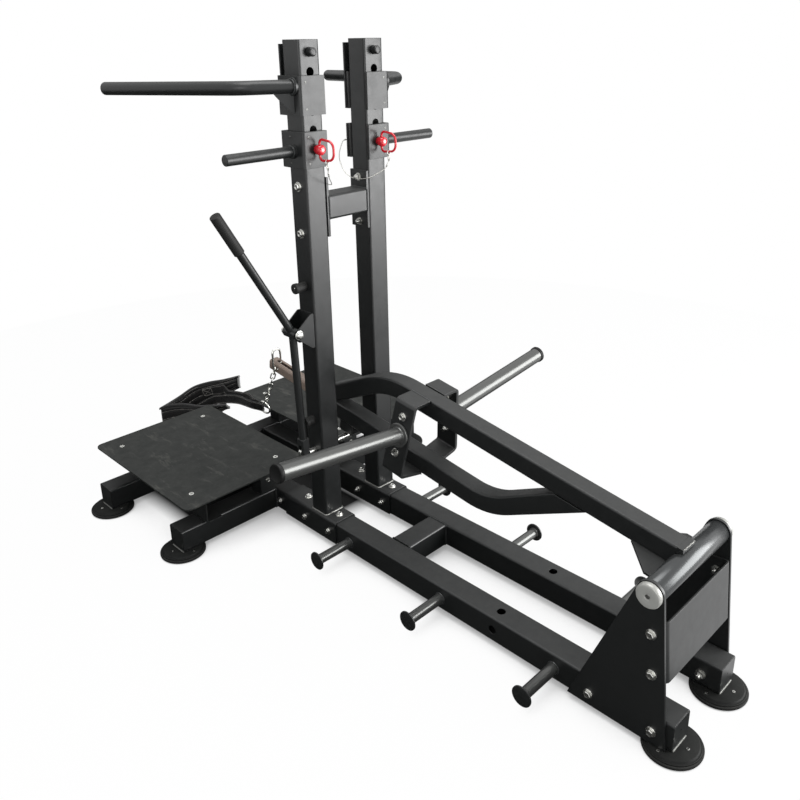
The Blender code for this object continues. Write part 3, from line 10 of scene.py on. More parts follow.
import bmesh
import bpy
from mathutils import Matrix, Vector
from mathutils.bvhtree import BVHTree
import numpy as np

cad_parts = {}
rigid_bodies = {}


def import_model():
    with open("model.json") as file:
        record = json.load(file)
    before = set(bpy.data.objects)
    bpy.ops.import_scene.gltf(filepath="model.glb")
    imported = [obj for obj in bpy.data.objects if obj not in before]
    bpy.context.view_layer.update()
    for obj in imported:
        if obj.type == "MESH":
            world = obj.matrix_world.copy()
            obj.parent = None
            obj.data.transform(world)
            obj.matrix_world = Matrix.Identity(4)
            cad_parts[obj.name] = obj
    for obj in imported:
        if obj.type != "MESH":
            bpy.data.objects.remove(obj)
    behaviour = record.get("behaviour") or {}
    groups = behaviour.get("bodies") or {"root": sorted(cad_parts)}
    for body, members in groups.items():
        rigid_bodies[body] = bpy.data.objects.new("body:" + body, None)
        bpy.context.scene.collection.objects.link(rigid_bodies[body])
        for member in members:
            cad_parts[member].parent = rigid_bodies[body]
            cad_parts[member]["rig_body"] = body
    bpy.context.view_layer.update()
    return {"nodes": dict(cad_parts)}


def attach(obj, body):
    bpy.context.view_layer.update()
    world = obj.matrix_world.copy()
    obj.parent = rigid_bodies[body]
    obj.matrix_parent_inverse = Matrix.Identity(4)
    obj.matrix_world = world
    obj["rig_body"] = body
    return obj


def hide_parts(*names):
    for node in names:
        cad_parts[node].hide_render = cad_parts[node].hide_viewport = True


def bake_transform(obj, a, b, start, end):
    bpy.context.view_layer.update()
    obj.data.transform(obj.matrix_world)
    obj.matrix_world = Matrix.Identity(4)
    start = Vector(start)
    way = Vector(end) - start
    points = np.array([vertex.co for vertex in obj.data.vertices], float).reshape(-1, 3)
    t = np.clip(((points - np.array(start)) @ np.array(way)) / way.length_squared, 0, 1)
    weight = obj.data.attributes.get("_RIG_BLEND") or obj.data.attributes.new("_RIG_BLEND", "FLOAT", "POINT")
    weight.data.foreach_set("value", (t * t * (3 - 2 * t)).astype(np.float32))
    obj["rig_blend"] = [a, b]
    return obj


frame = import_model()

SHIFT = Matrix.Translation((0, -0.1287, 0))
X, Y, Z = Vector((1, 0, 0)), Vector((0, 1, 0)), Vector((0, 0, 1))
MIRROR = Matrix.Scale(-1, 4, X)
SIDES = ("near", "far")

GAP = 0.0003                  # between faces that touch
PROUD = 0.0008                # how far a weld bead's middle stands off its face
RAIL, RAIL_X, RAIL_Z, RAIL_REAR = 0.08, 0.1253, 0.061, 1.3222
RAIL_OUT, RAIL_IN = RAIL_X + RAIL / 2, RAIL_X - RAIL / 2
UPRIGHT, UPRIGHT_X, UPRIGHT_TOP = 0.075, 0.1224, 1.6284
UPRIGHT_OUT, UPRIGHT_IN = UPRIGHT_X + UPRIGHT / 2, UPRIGHT_X - UPRIGHT / 2
SADDLE_TOP, SADDLE_OUT = 0.1063, 0.1706
SIDE_LEG_Y, PLATE_TOP = -0.28, 0.22
FOOT_R, FOOT_H = 0.0755, 0.021
WRAP_X, WRAP_REAR, WRAP_FRONT = 0.172, 0.0495, 0.0555
HINGE = Vector((0, 1.2313, 0.4394))


# ---- shader nodes

class Tree:
    """A material's or world's nodes; most methods add a node and give its output."""

    def __init__(self, owner):
        owner.use_nodes = True
        self.nodes, self.links = owner.node_tree.nodes, owner.node_tree.links

    def put(self, node, values):
        """Sets a node's inputs, and links those that are given an output."""
        for name, value in values.items():
            if isinstance(value, bpy.types.NodeSocket):
                self.links.new(value, node.inputs[name])
            else:
                node.inputs[name].default_value = value

    def new(self, kind, values=None, **settings):
        node = self.nodes.new("ShaderNode" + kind)
        for name, value in settings.items():
            setattr(node, name, value)
        self.put(node, values or {})
        return node.outputs

    def math(self, operation, a, b=None, clamp=False):
        values = {0: a} if b is None else {0: a, 1: b}
        return self.new("Math", values, operation=operation, use_clamp=clamp)[0]

    def ranged(self, value, low, high, start=0.3, end=0.7):
        return self.new("MapRange", {"Value": value, "From Min": start, "From Max": end,
                                     "To Min": low, "To Max": high})[0]

    def blended(self, factor, a, b):
        a, b = ((*value, 1) if isinstance(value, tuple) else value for value in (a, b))
        return self.new("Mix", {"Factor": factor, 6: a, 7: b}, data_type="RGBA")[2]

    def noise(self, where, scale, detail, rough, stretch=None):
        if stretch:
            where = self.new("Mapping", {"Vector": where, "Scale": stretch})[0]
        return self.new("TexNoise", {"Vector": where, "Scale": scale, "Detail": detail,
                                     "Roughness": rough})[0]

    def rays(self, *kinds):
        """1 for the kinds of ray that are to see plain white."""
        path = self.new("LightPath")
        share = path[kinds[0]]
        for kind in kinds[1:]:
            share = self.math("ADD", share, path[kind], True)
        return share

    def either(self, share, a, b, out):
        self.put(out, {0: self.new("MixShader", {0: share, 1: a, 2: b})[0]})


# ---- camera, light and floor

def stage_camera():
    yaw, pitch, roll = (math.radians(v) for v in (134.7173, 20.6607, -0.8068))
    data = bpy.data.cameras.new("camera")
    data.sensor_width, data.lens = 36, 36.433
    data.shift_x, data.shift_y = -0.01885, -0.07956
    data.clip_start, data.clip_end = 0.05, 100
    camera = bpy.data.objects.new("camera", data)
    camera.matrix_world = (Matrix.Translation((1.6215, 1.79381, 1.6458))
                           @ Matrix.Rotation(yaw, 4, "Z")
                           @ Matrix.Rotation(math.pi / 2 - pitch, 4, "X")
                           @ Matrix.Rotation(roll, 4, "Z"))
    bpy.context.scene.collection.objects.link(camera)
    bpy.context.scene.camera = camera


def lamp(name, at, toward, size, power):
    data = bpy.data.lights.new(name, "AREA")
    data.shape, data.size, data.size_y, data.energy = "RECTANGLE", *size, power
    light = bpy.data.objects.new(name, data)
    light.location = at
    light.rotation_euler = (Vector(toward) - Vector(at)).to_track_quat("-Z", "Y").to_euler()
    bpy.context.scene.collection.objects.link(light)


def stage_world():
    """Dim, slightly cool light all round that looks white itself."""
    world = bpy.context.scene.world = bpy.data.worlds.new("studio")
    tree = Tree(world)
    tree.nodes.clear()
    seen = tree.rays("Is Camera Ray", "Is Glossy Ray", "Is Transmission Ray")
    dim = tree.new("Background", {"Color": (0.95, 0.98, 1, 1), "Strength": 0.42})[0]
    white = tree.new("Background", {"Color": (1, 1, 1, 1), "Strength": 1})[0]
    tree.either(seen, dim, white, tree.nodes.new("ShaderNodeOutputWorld"))


def stage_panel(name, corners, material):
    mesh = bpy.data.meshes.new(name)
    mesh.from_pydata(corners, [], [tuple(range(len(corners)))])
    mesh.materials.append(material)
    panel = bpy.data.objects.new(name, mesh)
    bpy.context.scene.collection.objects.link(panel)
    return panel


# Floor that the machine closes in, painted dark as shade: half width, and rear end, of each painted shade
# area
PAINTED_SHADE_PATCHES = (((0.4, 0.47), (-0.47, -0.4)), ((0.09, 0.13), (-0.22, -0.14)))


def stage_floor():
    """Pale floor that keeps the machine's shadow near it, is white further out, and is painted dark as shade
    where the machine closes it in.
    """
    floor = bpy.data.materials.new("pale_floor")
    tree = Tree(floor)
    where = tree.new("NewGeometry")["Position"]
    closed = tree.new("AmbientOcclusion", {"Distance": 0.28}, samples=12)["AO"]
    distance = tree.new("VectorMath", {0: where}, operation="LENGTH")["Value"]
    share = tree.math("MAXIMUM", tree.ranged(closed, 0.25, 0.97, 0.2, 0.6),
                      tree.ranged(distance, 0.0, 1.0, 1.6, 3.2))
    share = tree.math("MULTIPLY", share, tree.rays("Is Camera Ray", "Is Glossy Ray"))
    x, y, _ = tree.new("SeparateXYZ", {0: where})
    half = tree.math("ABSOLUTE", x)
    front = tree.ranged(y, 0.0, 1.0, -0.94, -0.86)
    clear_of_all_painted_shade = None
    # Painted shade: the floor colour turns dark, and loses its white, in the areas the machine closes in
    for width, rear in PAINTED_SHADE_PATCHES:
        painted_shade = tree.math("MULTIPLY", front, tree.ranged(y, 1.0, 0.0, *rear))
        painted_shade = tree.math("MULTIPLY", tree.ranged(half, 1.0, 0.0, *width), painted_shade)
        clear_of_painted_shade = tree.ranged(painted_shade, 1.0, 0.0, 0.0, 1.0)
        clear_of_all_painted_shade = clear_of_painted_shade if clear_of_all_painted_shade is None else tree.math("MULTIPLY", clear_of_all_painted_shade, clear_of_painted_shade)
    shader = tree.nodes["Principled BSDF"]
    tree.put(shader, {"Base Color": tree.blended(clear_of_all_painted_shade, (0.04, 0.04, 0.04), (0.8, 0.8, 0.8)),
                      "Roughness": 0.9, "Specular IOR Level": 0})
    white = tree.new("Emission", {"Color": (1, 1, 1, 1)})[0]
    tree.either(tree.math("MULTIPLY", share, clear_of_all_painted_shade), shader.outputs[0], white,
                tree.nodes["Material Output"])
    stage_panel("floor", [(-30, -30, 0), (30, -30, 0), (30, 30, 0), (-30, 30, 0)], floor)


def stage_flags():
    """Dark panels that only reflections see, as in a dark studio between soft boxes."""
    dark = bpy.data.materials.new("dark_flag")
    tree = Tree(dark)
    tree.put(tree.nodes["Principled BSDF"], {"Base Color": (0.05, 0.05, 0.048, 1),
                                             "Roughness": 1, "Specular IOR Level": 0})
    front, left, right, off = -4.5, -4.0, 2.6, 0.0012
    shapes = {"flag_low": [(-1.4, front, off), (right, front, off), (right, 1.6, off),
                           (-0.1, 1.6, off), (-0.1, 0.5, off), (-1.4, 0.5, off)]}
    for name, a, b, high in (("flag_back", (left, front), (right, front), 2.1),
                             ("flag_right", (2.8, front), (2.8, 1.6), 0.6),
                             ("flag_left", (left, front), (left, 0.8), 2.1)):
        shapes[name] = [(*a, 0), (*b, 0), (*b, high), (*a, high)]
    for name, corners in shapes.items():
        flag = stage_panel(name, corners, dark)
        flag.visible_camera = flag.visible_diffuse = False
        flag.visible_shadow = flag.visible_transmission = False


# ---- materials


def surface(slot, name, colour, rough, metallic=0.0, vary=0.1, cloud=7, grain=1500, bump=0.15,
            depth=0.0002, rough_vary=0.05, specular=0.5, stretch=None, marks=(), dust=0.0,
            sheen=0.0, coat=0.0):
    """Procedural finish: clouded colour, uneven gloss, a fine grain, marks, and dust on top.

    A mark is its noise's scale, threshold, tint and share, and may end with a stretch.
    """
    material = bpy.data.materials.new(name)
    tree = Tree(material)
    where = tree.new("TexCoord")["Object"]
    low = tuple(c * (1 - vary) for c in colour)
    high = tuple(min(c * (1 + vary), 1) for c in colour)
    tone = tree.blended(tree.noise(where, cloud, 5, 0.6), low, high)
    gloss = tree.ranged(tree.noise(where, 34, 4, 0.6, stretch), rough - rough_vary,
                        rough + rough_vary)
    if dust:
        up = tree.new("SeparateXYZ", {0: tree.new("NewGeometry")["Normal"]})[2]
        gloss = tree.math("ADD", gloss, tree.ranged(up, 0, 0.3, 0.6, 1))
        spots = tree.math("MULTIPLY", tree.ranged(up, 0, dust, 0.6, 1),
                          tree.ranged(tree.noise(where, 26, 8, 0.7), 0.2, 1))
        tone = tree.blended(spots, tone, (0.3, 0.3, 0.28))
    for scale, threshold, tint, share, *squeeze in marks:
        cloudy = tree.noise(where, scale, 9, 0.72, squeeze[0] if squeeze else None)
        worn = tree.ranged(cloudy, 0, share, threshold, threshold + 0.1)
        tone = tree.blended(worn, tone, tint)
    relief = tree.new("Bump", {"Strength": bump, "Distance": depth,
                               "Height": tree.noise(where, grain, 2, 0.5, stretch)})[0]
    values = {"Base Color": tone, "Roughness": gloss, "Normal": relief, "Metallic": metallic,
              "Specular IOR Level": specular}
    if sheen:
        values |= {"Sheen Weight": sheen, "Sheen Roughness": 0.4}
    if coat:
        values |= {"Coat Weight": coat, "Coat Roughness": 0.12}
    tree.put(tree.nodes["Principled BSDF"], values)
    return material


def webbing(name, colour, rough, pitch=0.0016):
    """Woven strap: ribs across and a twill along, laid out on the piece's own UV, in metres."""
    material = surface("webbing", name, colour, rough, vary=0.25, cloud=60, grain=2500, bump=0.2,
                       sheen=0.1)
    tree = Tree(material)
    shader = tree.nodes["Principled BSDF"]
    uv = tree.new("UVMap")[0]
    waves = [tree.new("TexWave", {"Vector": uv, "Scale": scale / pitch / 3.2,
                                  "Distortion": 0.4}, bands_direction=direction)["Fac"]
             for direction, scale in (("X", 1), ("DIAGONAL", 0.7))]
    weave = tree.new("Bump", {"Strength": 0.6, "Distance": 0.0005,
                              "Height": tree.math("MULTIPLY", *waves),
                              "Normal": shader.inputs["Normal"].links[0].from_socket})[0]
    tree.put(shader, {"Normal": weave})
    return material


SCUFFS = (55, 0.7, (0.06, 0.06, 0.056), 0.35)
COAT = surface("charcoal", "charcoal_coat", (0.0095, 0.0105, 0.0105), 0.35, bump=0.16,
               dust=0.04, rough_vary=0.04, specular=0.6, marks=(SCUFFS,))
FOOT_COAT = surface("charcoal", "foot_coat", (0.0095, 0.01, 0.0095), 0.52, vary=0.2, cloud=40,
                    bump=0.3, specular=0.15, dust=0.03,
                    marks=((190, 0.7, (0.16, 0.16, 0.15), 0.6),))
TURNED = {"vary": 0.06, "bump": 0.02, "rough_vary": 0.02, "stretch": (0.25, 1, 1)}
ROUND_COAT = surface("charcoal", "satin_coat", (0.122, 0.124, 0.12), 0.29, 0.7, **TURNED)
# The hub's paint is the horns' satin coat; this copy is darker and less metallic, painted shade that dims
# the hub's highlight
HUB_SHADED_COAT = surface("charcoal", "hub_shaded_coat", (0.068, 0.071, 0.072), 0.26, 0.6, **TURNED)
HOLD_COAT = surface("charcoal", "hold_coat", (0.012, 0.013, 0.013), 0.36, bump=0.2,
                    dust=0.04, rough_vary=0.04, marks=(SCUFFS,))
PLATE_COAT = surface("plate", "plate_coat", (0.019, 0.0205, 0.0195), 0.5, vary=0.16, cloud=5,
                     grain=900, bump=0.45, depth=0.0003, dust=0.08, specular=0.25,
                     marks=((9, 0.55, (0.09, 0.09, 0.082), 0.6, (2.4, 0.6, 1)),
                            (420, 0.66, (0.14, 0.14, 0.13), 0.7)))
ROUGH = {"vary": 0.3, "grain": 700, "bump": 0.5, "depth": 0.0004}
WELD = surface("charcoal", "weld_coat", (0.034, 0.036, 0.036), 0.32, cloud=120, **ROUGH)
BARE_WELD = surface("zinc", "bare_weld", (0.26, 0.26, 0.245), 0.36, 0.6, cloud=200, **ROUGH)
ZINC = surface("zinc", "bright_zinc", (0.66, 0.66, 0.63), 0.27, 1, vary=0.14, cloud=70,
               grain=1200, bump=0.1, marks=((130, 0.66, (0.3, 0.29, 0.27), 0.5),))
SCREW = surface("zinc", "dull_screw", (0.2, 0.2, 0.19), 0.36, 0.8, vary=0.15, cloud=200)
CHAIN_ZINC = surface("zinc", "chain_zinc", (0.8, 0.8, 0.76), 0.22, 1, cloud=140)
STEEL_CAP = surface("zinc", "satin_cap", (0.42, 0.42, 0.395), 0.38, 0.35, vary=0.06,
                    cloud=30, grain=900, bump=0.12, stretch=(1, 1, 12))
DARK_CAP = surface("charcoal", "dark_cap", (0.006, 0.0062, 0.006), 0.5, vary=0.15, cloud=30,
                   specular=0.25)
RUBBER = surface("rubber", "black_rubber", (0.013, 0.013, 0.0125), 0.6, vary=0.2, grain=700,
                 bump=0.5, depth=0.0003, specular=0.3, dust=0.06)
LINER = surface("liner", "dark_liner", (0.045, 0.045, 0.044), 0.42, vary=0.05, cloud=20,
                grain=900)
RED = surface("red", "red_plastic", (0.6, 0.012, 0.024), 0.24, cloud=40, grain=1200,
              bump=0.08, coat=0.4, marks=((180, 0.7, (0.75, 0.1, 0.1), 0.5),))
TAUPE = surface("taupe", "taupe_coat", (0.21, 0.158, 0.128), 0.42, cloud=30,
                bump=0.25, marks=((60, 0.66, (0.42, 0.36, 0.31), 0.5, (1, 0.4, 1)),))
CORD_STEEL = surface("zinc", "cord_steel", (0.62, 0.61, 0.57), 0.3, 0.9, vary=0.2,
                     cloud=400, grain=2500, bump=0.4)
PAD_SKIN = surface("belt", "belt_skin", (0.0105, 0.01, 0.0098), 0.42, vary=0.25, cloud=16,
                   grain=850, bump=0.55, depth=0.0006, rough_vary=0.09, specular=0.4, sheen=0.05)
BINDING = webbing("belt_binding", (0.01, 0.0095, 0.0095), 0.42)
STRAP = webbing("belt_webbing", (0.008, 0.0076, 0.0076), 0.34)
THREAD = surface("belt", "pale_thread", (0.42, 0.4, 0.37), 0.6, vary=0.2, cloud=300,
                 grain=3000, bump=0.6, depth=0.0003)
HEM = surface("belt", "hem_tape", (0.3, 0.3, 0.29), 0.45, vary=0.2, cloud=200, grain=1800,
              bump=0.6, depth=0.0003)


# ---- shapes

DRAFT = bmesh.new()           # the shapes below are drawn here, until piece() takes them


def arc(centre, a, b, count, start=0.0, turn=math.tau, ends=False):
    """Points from a toward b round a centre, with or without the turn's last one."""
    angles = [start + turn * k / (count - ends) for k in range(count)]
    return [centre + a * math.cos(t) + b * math.sin(t) for t in angles]


def circle(radius, count):
    return [p[:2] for p in arc(Vector((0, 0, 0)), X * radius, Y * radius, count)]


def rounded_rect(width, height, radius, steps=6):
    points = []
    for cx, cy, start in ((1, 1, 0), (-1, 1, 90), (-1, -1, 180), (1, -1, 270)):
        corner = Vector((cx * (width / 2 - radius), cy * (height / 2 - radius), 0))
        points += [p[:2] for p in arc(corner, X * radius, Y * radius, steps + 1,
                                      math.radians(start), math.pi / 2, True)]
    return points


def fillet(points, radii, steps):
    """A closed outline with its corners rounded."""
    out = []
    for i, (corner, radius) in enumerate(zip(points, radii)):
        a = (points[i - 1] - corner).normalized()
        b = (points[(i + 1) % len(points)] - corner).normalized()
        half = a.angle(b) / 2
        middle = corner + (a + b).normalized() * (radius / math.sin(half))
        start = corner + a * (radius / math.tan(half)) - middle
        end = corner + b * (radius / math.tan(half)) - middle
        angle = start.angle(end)
        for k in range(steps + 1):
            out.append(middle + (start * math.sin((1 - k / steps) * angle)
                                 + end * math.sin(k / steps * angle)) / math.sin(angle))
    return out


def smooth_route(points, step):
    """Points about one step apart on a smooth curve through the given ones."""
    points = [Vector(p) for p in points]
    guide = [points[0] * 2 - points[1]] + points + [points[-1] * 2 - points[-2]]
    dense = []
    for p0, p1, p2, p3 in zip(guide, guide[1:], guide[2:], guide[3:]):
        for t in (k / 24 for k in range(24)):
            dense.append(0.5 * (2 * p1 + (p2 - p0) * t + (2 * p0 - 5 * p1 + 4 * p2 - p3) * t * t
                                + (3 * p1 - p0 - 3 * p2 + p3) * t ** 3))
    dense.append(points[-1])
    lengths = [0.0]
    for a, b in zip(dense, dense[1:]):
        lengths.append(lengths[-1] + (b - a).length)
    count = max(2, round(lengths[-1] / step))
    out, k = [], 0
    for i in range(count + 1):
        target = lengths[-1] * i / count
        while k < len(dense) - 2 and lengths[k + 1] < target:
            k += 1
        share = (target - lengths[k]) / max(lengths[k + 1] - lengths[k], 1e-9)
        out.append(dense[k].lerp(dense[k + 1], min(share, 1)))
    return out


def bridge(a, b):
    for i in range(len(a)):
        j = (i + 1) % len(a)
        DRAFT.faces.new((a[i], a[j], b[j], b[i]))


def prism(outline, low, high, axes, at=Vector((0, 0, 0))):
    a, b, c = axes
    ends = [[DRAFT.verts.new(at + a * p[0] + b * p[1] + c * level) for p in outline]
            for level in (low, high)]
    DRAFT.faces.new(ends[0])
    DRAFT.faces.new(ends[1])
    bridge(*ends)


def lathe(profile, at, axis, count=48, turn=0.0, size=1.0, shut=True):
    """Solid of revolution from (distance along the axis, radius) pairs, shut by flat ends."""
    if shut:
        profile = [(profile[0][0], 0), *profile, (profile[-1][0], 0)]
    axis, at = Vector(axis).normalized(), Vector(at)
    side = axis.cross(Z if abs(axis.z) < 0.9 else X).normalized()
    top = side.cross(axis)
    side, top = (side * math.cos(turn) + top * math.sin(turn),
                 top * math.cos(turn) - side * math.sin(turn))
    rings = []
    for along, radius in profile:
        middle = at + axis * (along * size)
        reach = radius * size
        points = arc(middle, side * reach, top * reach, count) if radius else [middle]
        rings.append([DRAFT.verts.new(p) for p in points])
    for a, b in zip(rings, rings[1:]):
        if len(a) == len(b):
            bridge(a, b)
            continue
        (point,), ring = (a, b) if len(b) > 1 else (b, a)
        for i in range(count):
            DRAFT.faces.new((point, ring[i], ring[(i + 1) % count]))


def sweep(path, outline, up, loop=False, ups=None, sizes=None, uv=False):
    """Outline carried along a path; sizes scales it at each point; uv is metres along, around."""
    count = len(path)
    legs = [(path[(i + 1) % count] - path[i]).normalized() for i in range(count)]
    rings = []
    for i, point in enumerate(path):
        if loop or 0 < i < count - 1:
            tangent = (legs[i - 1] + legs[i]).normalized()
        else:
            tangent = legs[-2] if i else legs[0]
        up = ups[i] if ups else up
        up = (up - tangent * up.dot(tangent)).normalized()
        side = tangent.cross(up)
        size = sizes[i] if sizes else 1
        rings.append([DRAFT.verts.new(point + (side * a + up * b) * size) for a, b in outline])
    layer = DRAFT.loops.layers.uv.verify() if uv else None
    around = [0.0]
    for a, b in zip(outline, outline[1:] + outline[:1]):
        around.append(around[-1] + math.dist(a, b))
    along = 0.0
    for k in range(count if loop else count - 1):
        a, b = rings[k], rings[(k + 1) % count]
        ahead = along + (path[(k + 1) % count] - path[k]).length
        for i in range(len(a)):
            j = (i + 1) % len(a)
            face = DRAFT.faces.new((a[i], a[j], b[j], b[i]))
            if uv:
                corners = ((along, around[i]), (along, around[i + 1]), (ahead, around[i + 1]),
                           (ahead, around[i]))
                for corner, at in zip(face.loops, corners):
                    corner[layer].uv = at
        along = ahead
    if not loop:
        DRAFT.faces.new(rings[0])
        DRAFT.faces.new(rings[-1])


def bead(path, radius, loop=False):
    """Weld bead: a round run whose ripples are one pitch apart."""
    pitch = 0.0042
    fine, lengths = [], []
    total = 0.0
    ends = path + path[:1] * loop
    for a, b in zip(ends, ends[1:]):
        steps = max(1, round((b - a).length / (pitch / 3)))
        for k in range(steps):
            fine.append(a.lerp(b, k / steps))
            lengths.append(total + (b - a).length * k / steps)
        total += (b - a).length
    if not loop:
        fine.append(path[-1])
        lengths.append(total)
    sizes = [0.86 + 0.22 * abs(math.sin(math.pi * s / pitch)) for s in lengths]
    if loop:
        middle = sum(fine, Vector()) / len(fine)
        up = (fine[0] - middle).cross(fine[len(fine) // 4] - middle).normalized()
    else:
        sizes[0] = sizes[-1] = 0.45
        up = Z
    sweep(fine, circle(radius, 8), up, loop, sizes=sizes)


def take(name):
    """Makes an object of what was drawn."""
    bmesh.ops.recalc_face_normals(DRAFT, faces=DRAFT.faces)
    mesh = bpy.data.meshes.new(name)
    DRAFT.to_mesh(mesh)
    DRAFT.clear()
    thing = bpy.data.objects.new(name, mesh)
    bpy.context.scene.collection.objects.link(thing)
    return thing


def hand_over(thing, body, replaces):
    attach(thing, body)
    if replaces:
        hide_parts(replaces)


def placed(side):
    """From the machine's frame, on the near side, to the row frame."""
    return SHIFT @ (MIRROR if side == "far" else Matrix())


def piece(name, body, material, side="", replaces="", bevel=0.0, smooth=40, local=Matrix()):
    """Takes what was drawn; a star in a name stands for the side."""
    name, body, replaces = (text.replace("*", side) for text in (name, body, replaces))
    bmesh.ops.remove_doubles(DRAFT, verts=DRAFT.verts, dist=1e-6)
    bmesh.ops.transform(DRAFT, matrix=placed(side) @ local, verts=DRAFT.verts)
    thing = take(name)
    thing.data.shade_smooth()
    thing.data.set_sharp_from_angle(angle=math.radians(smooth))
    thing.data.materials.append(material)
    if bevel:
        edge = thing.modifiers.new("edge", "BEVEL")
        edge.width, edge.segments, edge.angle_limit = bevel, 2, math.radians(40)
        edge.limit_method = "ANGLE"
    hand_over(thing, body, replaces)
    return thing


# ---- CAD nodes that stay

def dress_node(name, material, edge=0.0008):
    node = frame["nodes"][name]
    mesh = node.data
    for attribute in [a.name for a in mesh.attributes if a.name == "custom_normal"]:
        mesh.attributes.remove(mesh.attributes[attribute])
    mesh.materials.clear()
    mesh.materials.append(material)
    mesh.shade_smooth()
    merge = node.modifiers.new("merge", "WELD")
    merge.merge_threshold = 0.00002
    if edge:
        bevel = node.modifiers.new("edge", "BEVEL")
        bevel.width, bevel.segments = edge, 2
        bevel.limit_method, bevel.angle_limit = "ANGLE", math.radians(50)
        bevel.use_clamp_overlap = True
        bevel.miter_outer = "MITER_ARC"
    normals = node.modifiers.new("normals", "WEIGHTED_NORMAL")
    normals.weight, normals.keep_sharp = 100, False


def dress_nodes():
    for name in ("cross_tube", "front_leg", "upright_brace", "rear_tie", "arm_upper_tube",
                 "arm_lower_tube"):
        dress_node(name, COAT)
    for side in SIDES:
        for part in ("rail_", "side_leg_", "upright_", "rear_plate_", "horn_bracket_", "saddle_"):
            dress_node(part + side, COAT)
        for part in ("upper_", "lower_"):
            dress_node(part + "handle_" + side, HOLD_COAT, 0.0016)
            dress_node(part + "liner_" + side, LINER, 0)
        dress_node("foot_plate_" + side, PLATE_COAT)
    dress_node("lever_bracket", COAT, 0.0005)
    dress_node("release_lever", HOLD_COAT, 0.0005)
    dress_node("latch_pin", ZINC, 0.0004)
    dress_node("hinge_shaft", STEEL_CAP, 0.0006)
    dress_node("arm_tongue", TAUPE)


# ---- fasteners

def bolt(at, axis, size=1.0, turn=0.3):
    """Washer under a chamfered hexagon head."""
    lathe(((0, 0.0122), (0.0014, 0.0122), (0.0019, 0.0117)), at, axis, 32, size=size)
    lathe(((0.0019, 0.0094), (0.007, 0.0094), (0.0084, 0.008), (0.0086, 0.006), (0.008, 0.005)),
          at, axis, 6, turn, size)


def nut(at, axis, size=1.0, turn=0.1):
    """Washer, hexagon nut and the threaded end that stands out of it."""
    lathe(((0, 0.0118), (0.0018, 0.0118)), at, axis, 32, size=size)
    lathe(((0.0018, 0.0094), (0.0092, 0.0094), (0.0104, 0.008)), at, axis, 6, turn, size)
    thread = []
    for i in range(7):
        thread += [(0.01 + 0.001 * i, 0.0044), (0.0105 + 0.001 * i, 0.005)]
    lathe([*thread, (0.0172, 0.004)], at, axis, 20, size=size)


def screw(at, axis, radius):
    """Countersunk screw with a round socket."""
    lathe(((-0.0005, radius * 0.94), (0.0004, radius), (0.0009, radius * 0.95),
           (0.0011, radius * 0.5), (-0.0002, radius * 0.44)), at, axis, 28)


SIDE_BOLTS = ((-0.22, RAIL_OUT), (-0.07, SADDLE_OUT), (0.057, SADDLE_OUT))
REAR_BOLTS = ((1.2434, 0.3327), (1.2551, 0.2221), (1.2696, 0.057), (1.0933, 0.0557))


def build_fasteners(side):
    for y, x in SIDE_BOLTS:
        bolt((x, y, 0.06), X, turn=y * 9)
        nut((RAIL_IN if x == RAIL_OUT else 2 * RAIL_X - x, y, 0.06), -X, 0.95, y * 5)
    for y in (0.066, -0.1):
        bolt((RAIL_X, y, SADDLE_TOP), Z, 1.05, y * 7)
    for k, (y, z) in enumerate(REAR_BOLTS):
        bolt((0.1736, y, z), X, 1.12, k * 0.7)
        upper = k < 2
        nut((RAIL_OUT - 0.0055 if upper else RAIL_IN, y, z), -X, 1.0 if upper else 1.2, k)
    for z in (1.2206, 1.079):
        bolt((UPRIGHT_OUT, 0, z), X, 1.18, z)
        nut((UPRIGHT_IN - GAP - 0.008, 0, z), -X, 1.0, z * 3)
    for y in (-0.667, -0.24):
        for z in (0.15, 0.178):
            bolt((0.197, y, z), Y, 0.72, z * 11)
    piece("frame_bolts_*", "frame", ZINC, side)
    for x in (0.15, 0.492):
        for y in (-0.732, -0.25):
            screw((x, y, PLATE_TOP), Z, 0.0088)
    piece("plate_screws_*", "frame", ZINC, side)


# ---- feet, pegs and tube ends

FEET = (("front", 0.5725, -0.707, X, Y), ("side", 0.5315, SIDE_LEG_Y, X, Y),
        ("rear", RAIL_X, 1.3057, Y, -X))


def build_feet(side):
    top = FOOT_H - GAP
    for part, x, y, out, across in FEET:
        foot = "foot_%s_" % part
        lathe(((0, FOOT_R - 0.006), (0.0012, FOOT_R - 0.003), (0.0035, FOOT_R - 0.0006),
               (0.0055, FOOT_R), (0.009, FOOT_R), (0.011, FOOT_R - 0.0008),
               (0.0118, FOOT_R - 0.0026), (0.0112, FOOT_R - 0.006), (0.009, FOOT_R - 0.007)),
              (x, y, 0), Z, 72)
        piece(foot + "pad_*", "frame", RUBBER, side, foot + "*")
        lathe(((0.0092, FOOT_R - 0.0045), (0.014, FOOT_R - 0.0045), (0.0152, FOOT_R - 0.0058),
               (0.0152, FOOT_R - 0.0085), (0.016, FOOT_R - 0.0098),
               (top - 0.0012, FOOT_R - 0.011), (top, FOOT_R - 0.0125)), (x, y, 0), Z, 72)
        piece(foot + "disc_*", "frame", FOOT_COAT, side)
        for way in (out * 0.04, across * 0.054 - out * 0.01, -across * 0.054 - out * 0.01):
            screw(Vector((x, y, top)) + way, Z, 0.0042)
        piece(foot + "screws_*", "frame", ZINC, side)
        corner = Vector((x, y, FOOT_H + 0.0004))
        bead([corner + out * o + across * a for o, a in
              ((-0.05, 0.032), (0.0171, 0.032), (0.0171, -0.032), (-0.05, -0.032))], 0.0026)
        piece(foot + "weld_*", "frame", BARE_WELD, side)


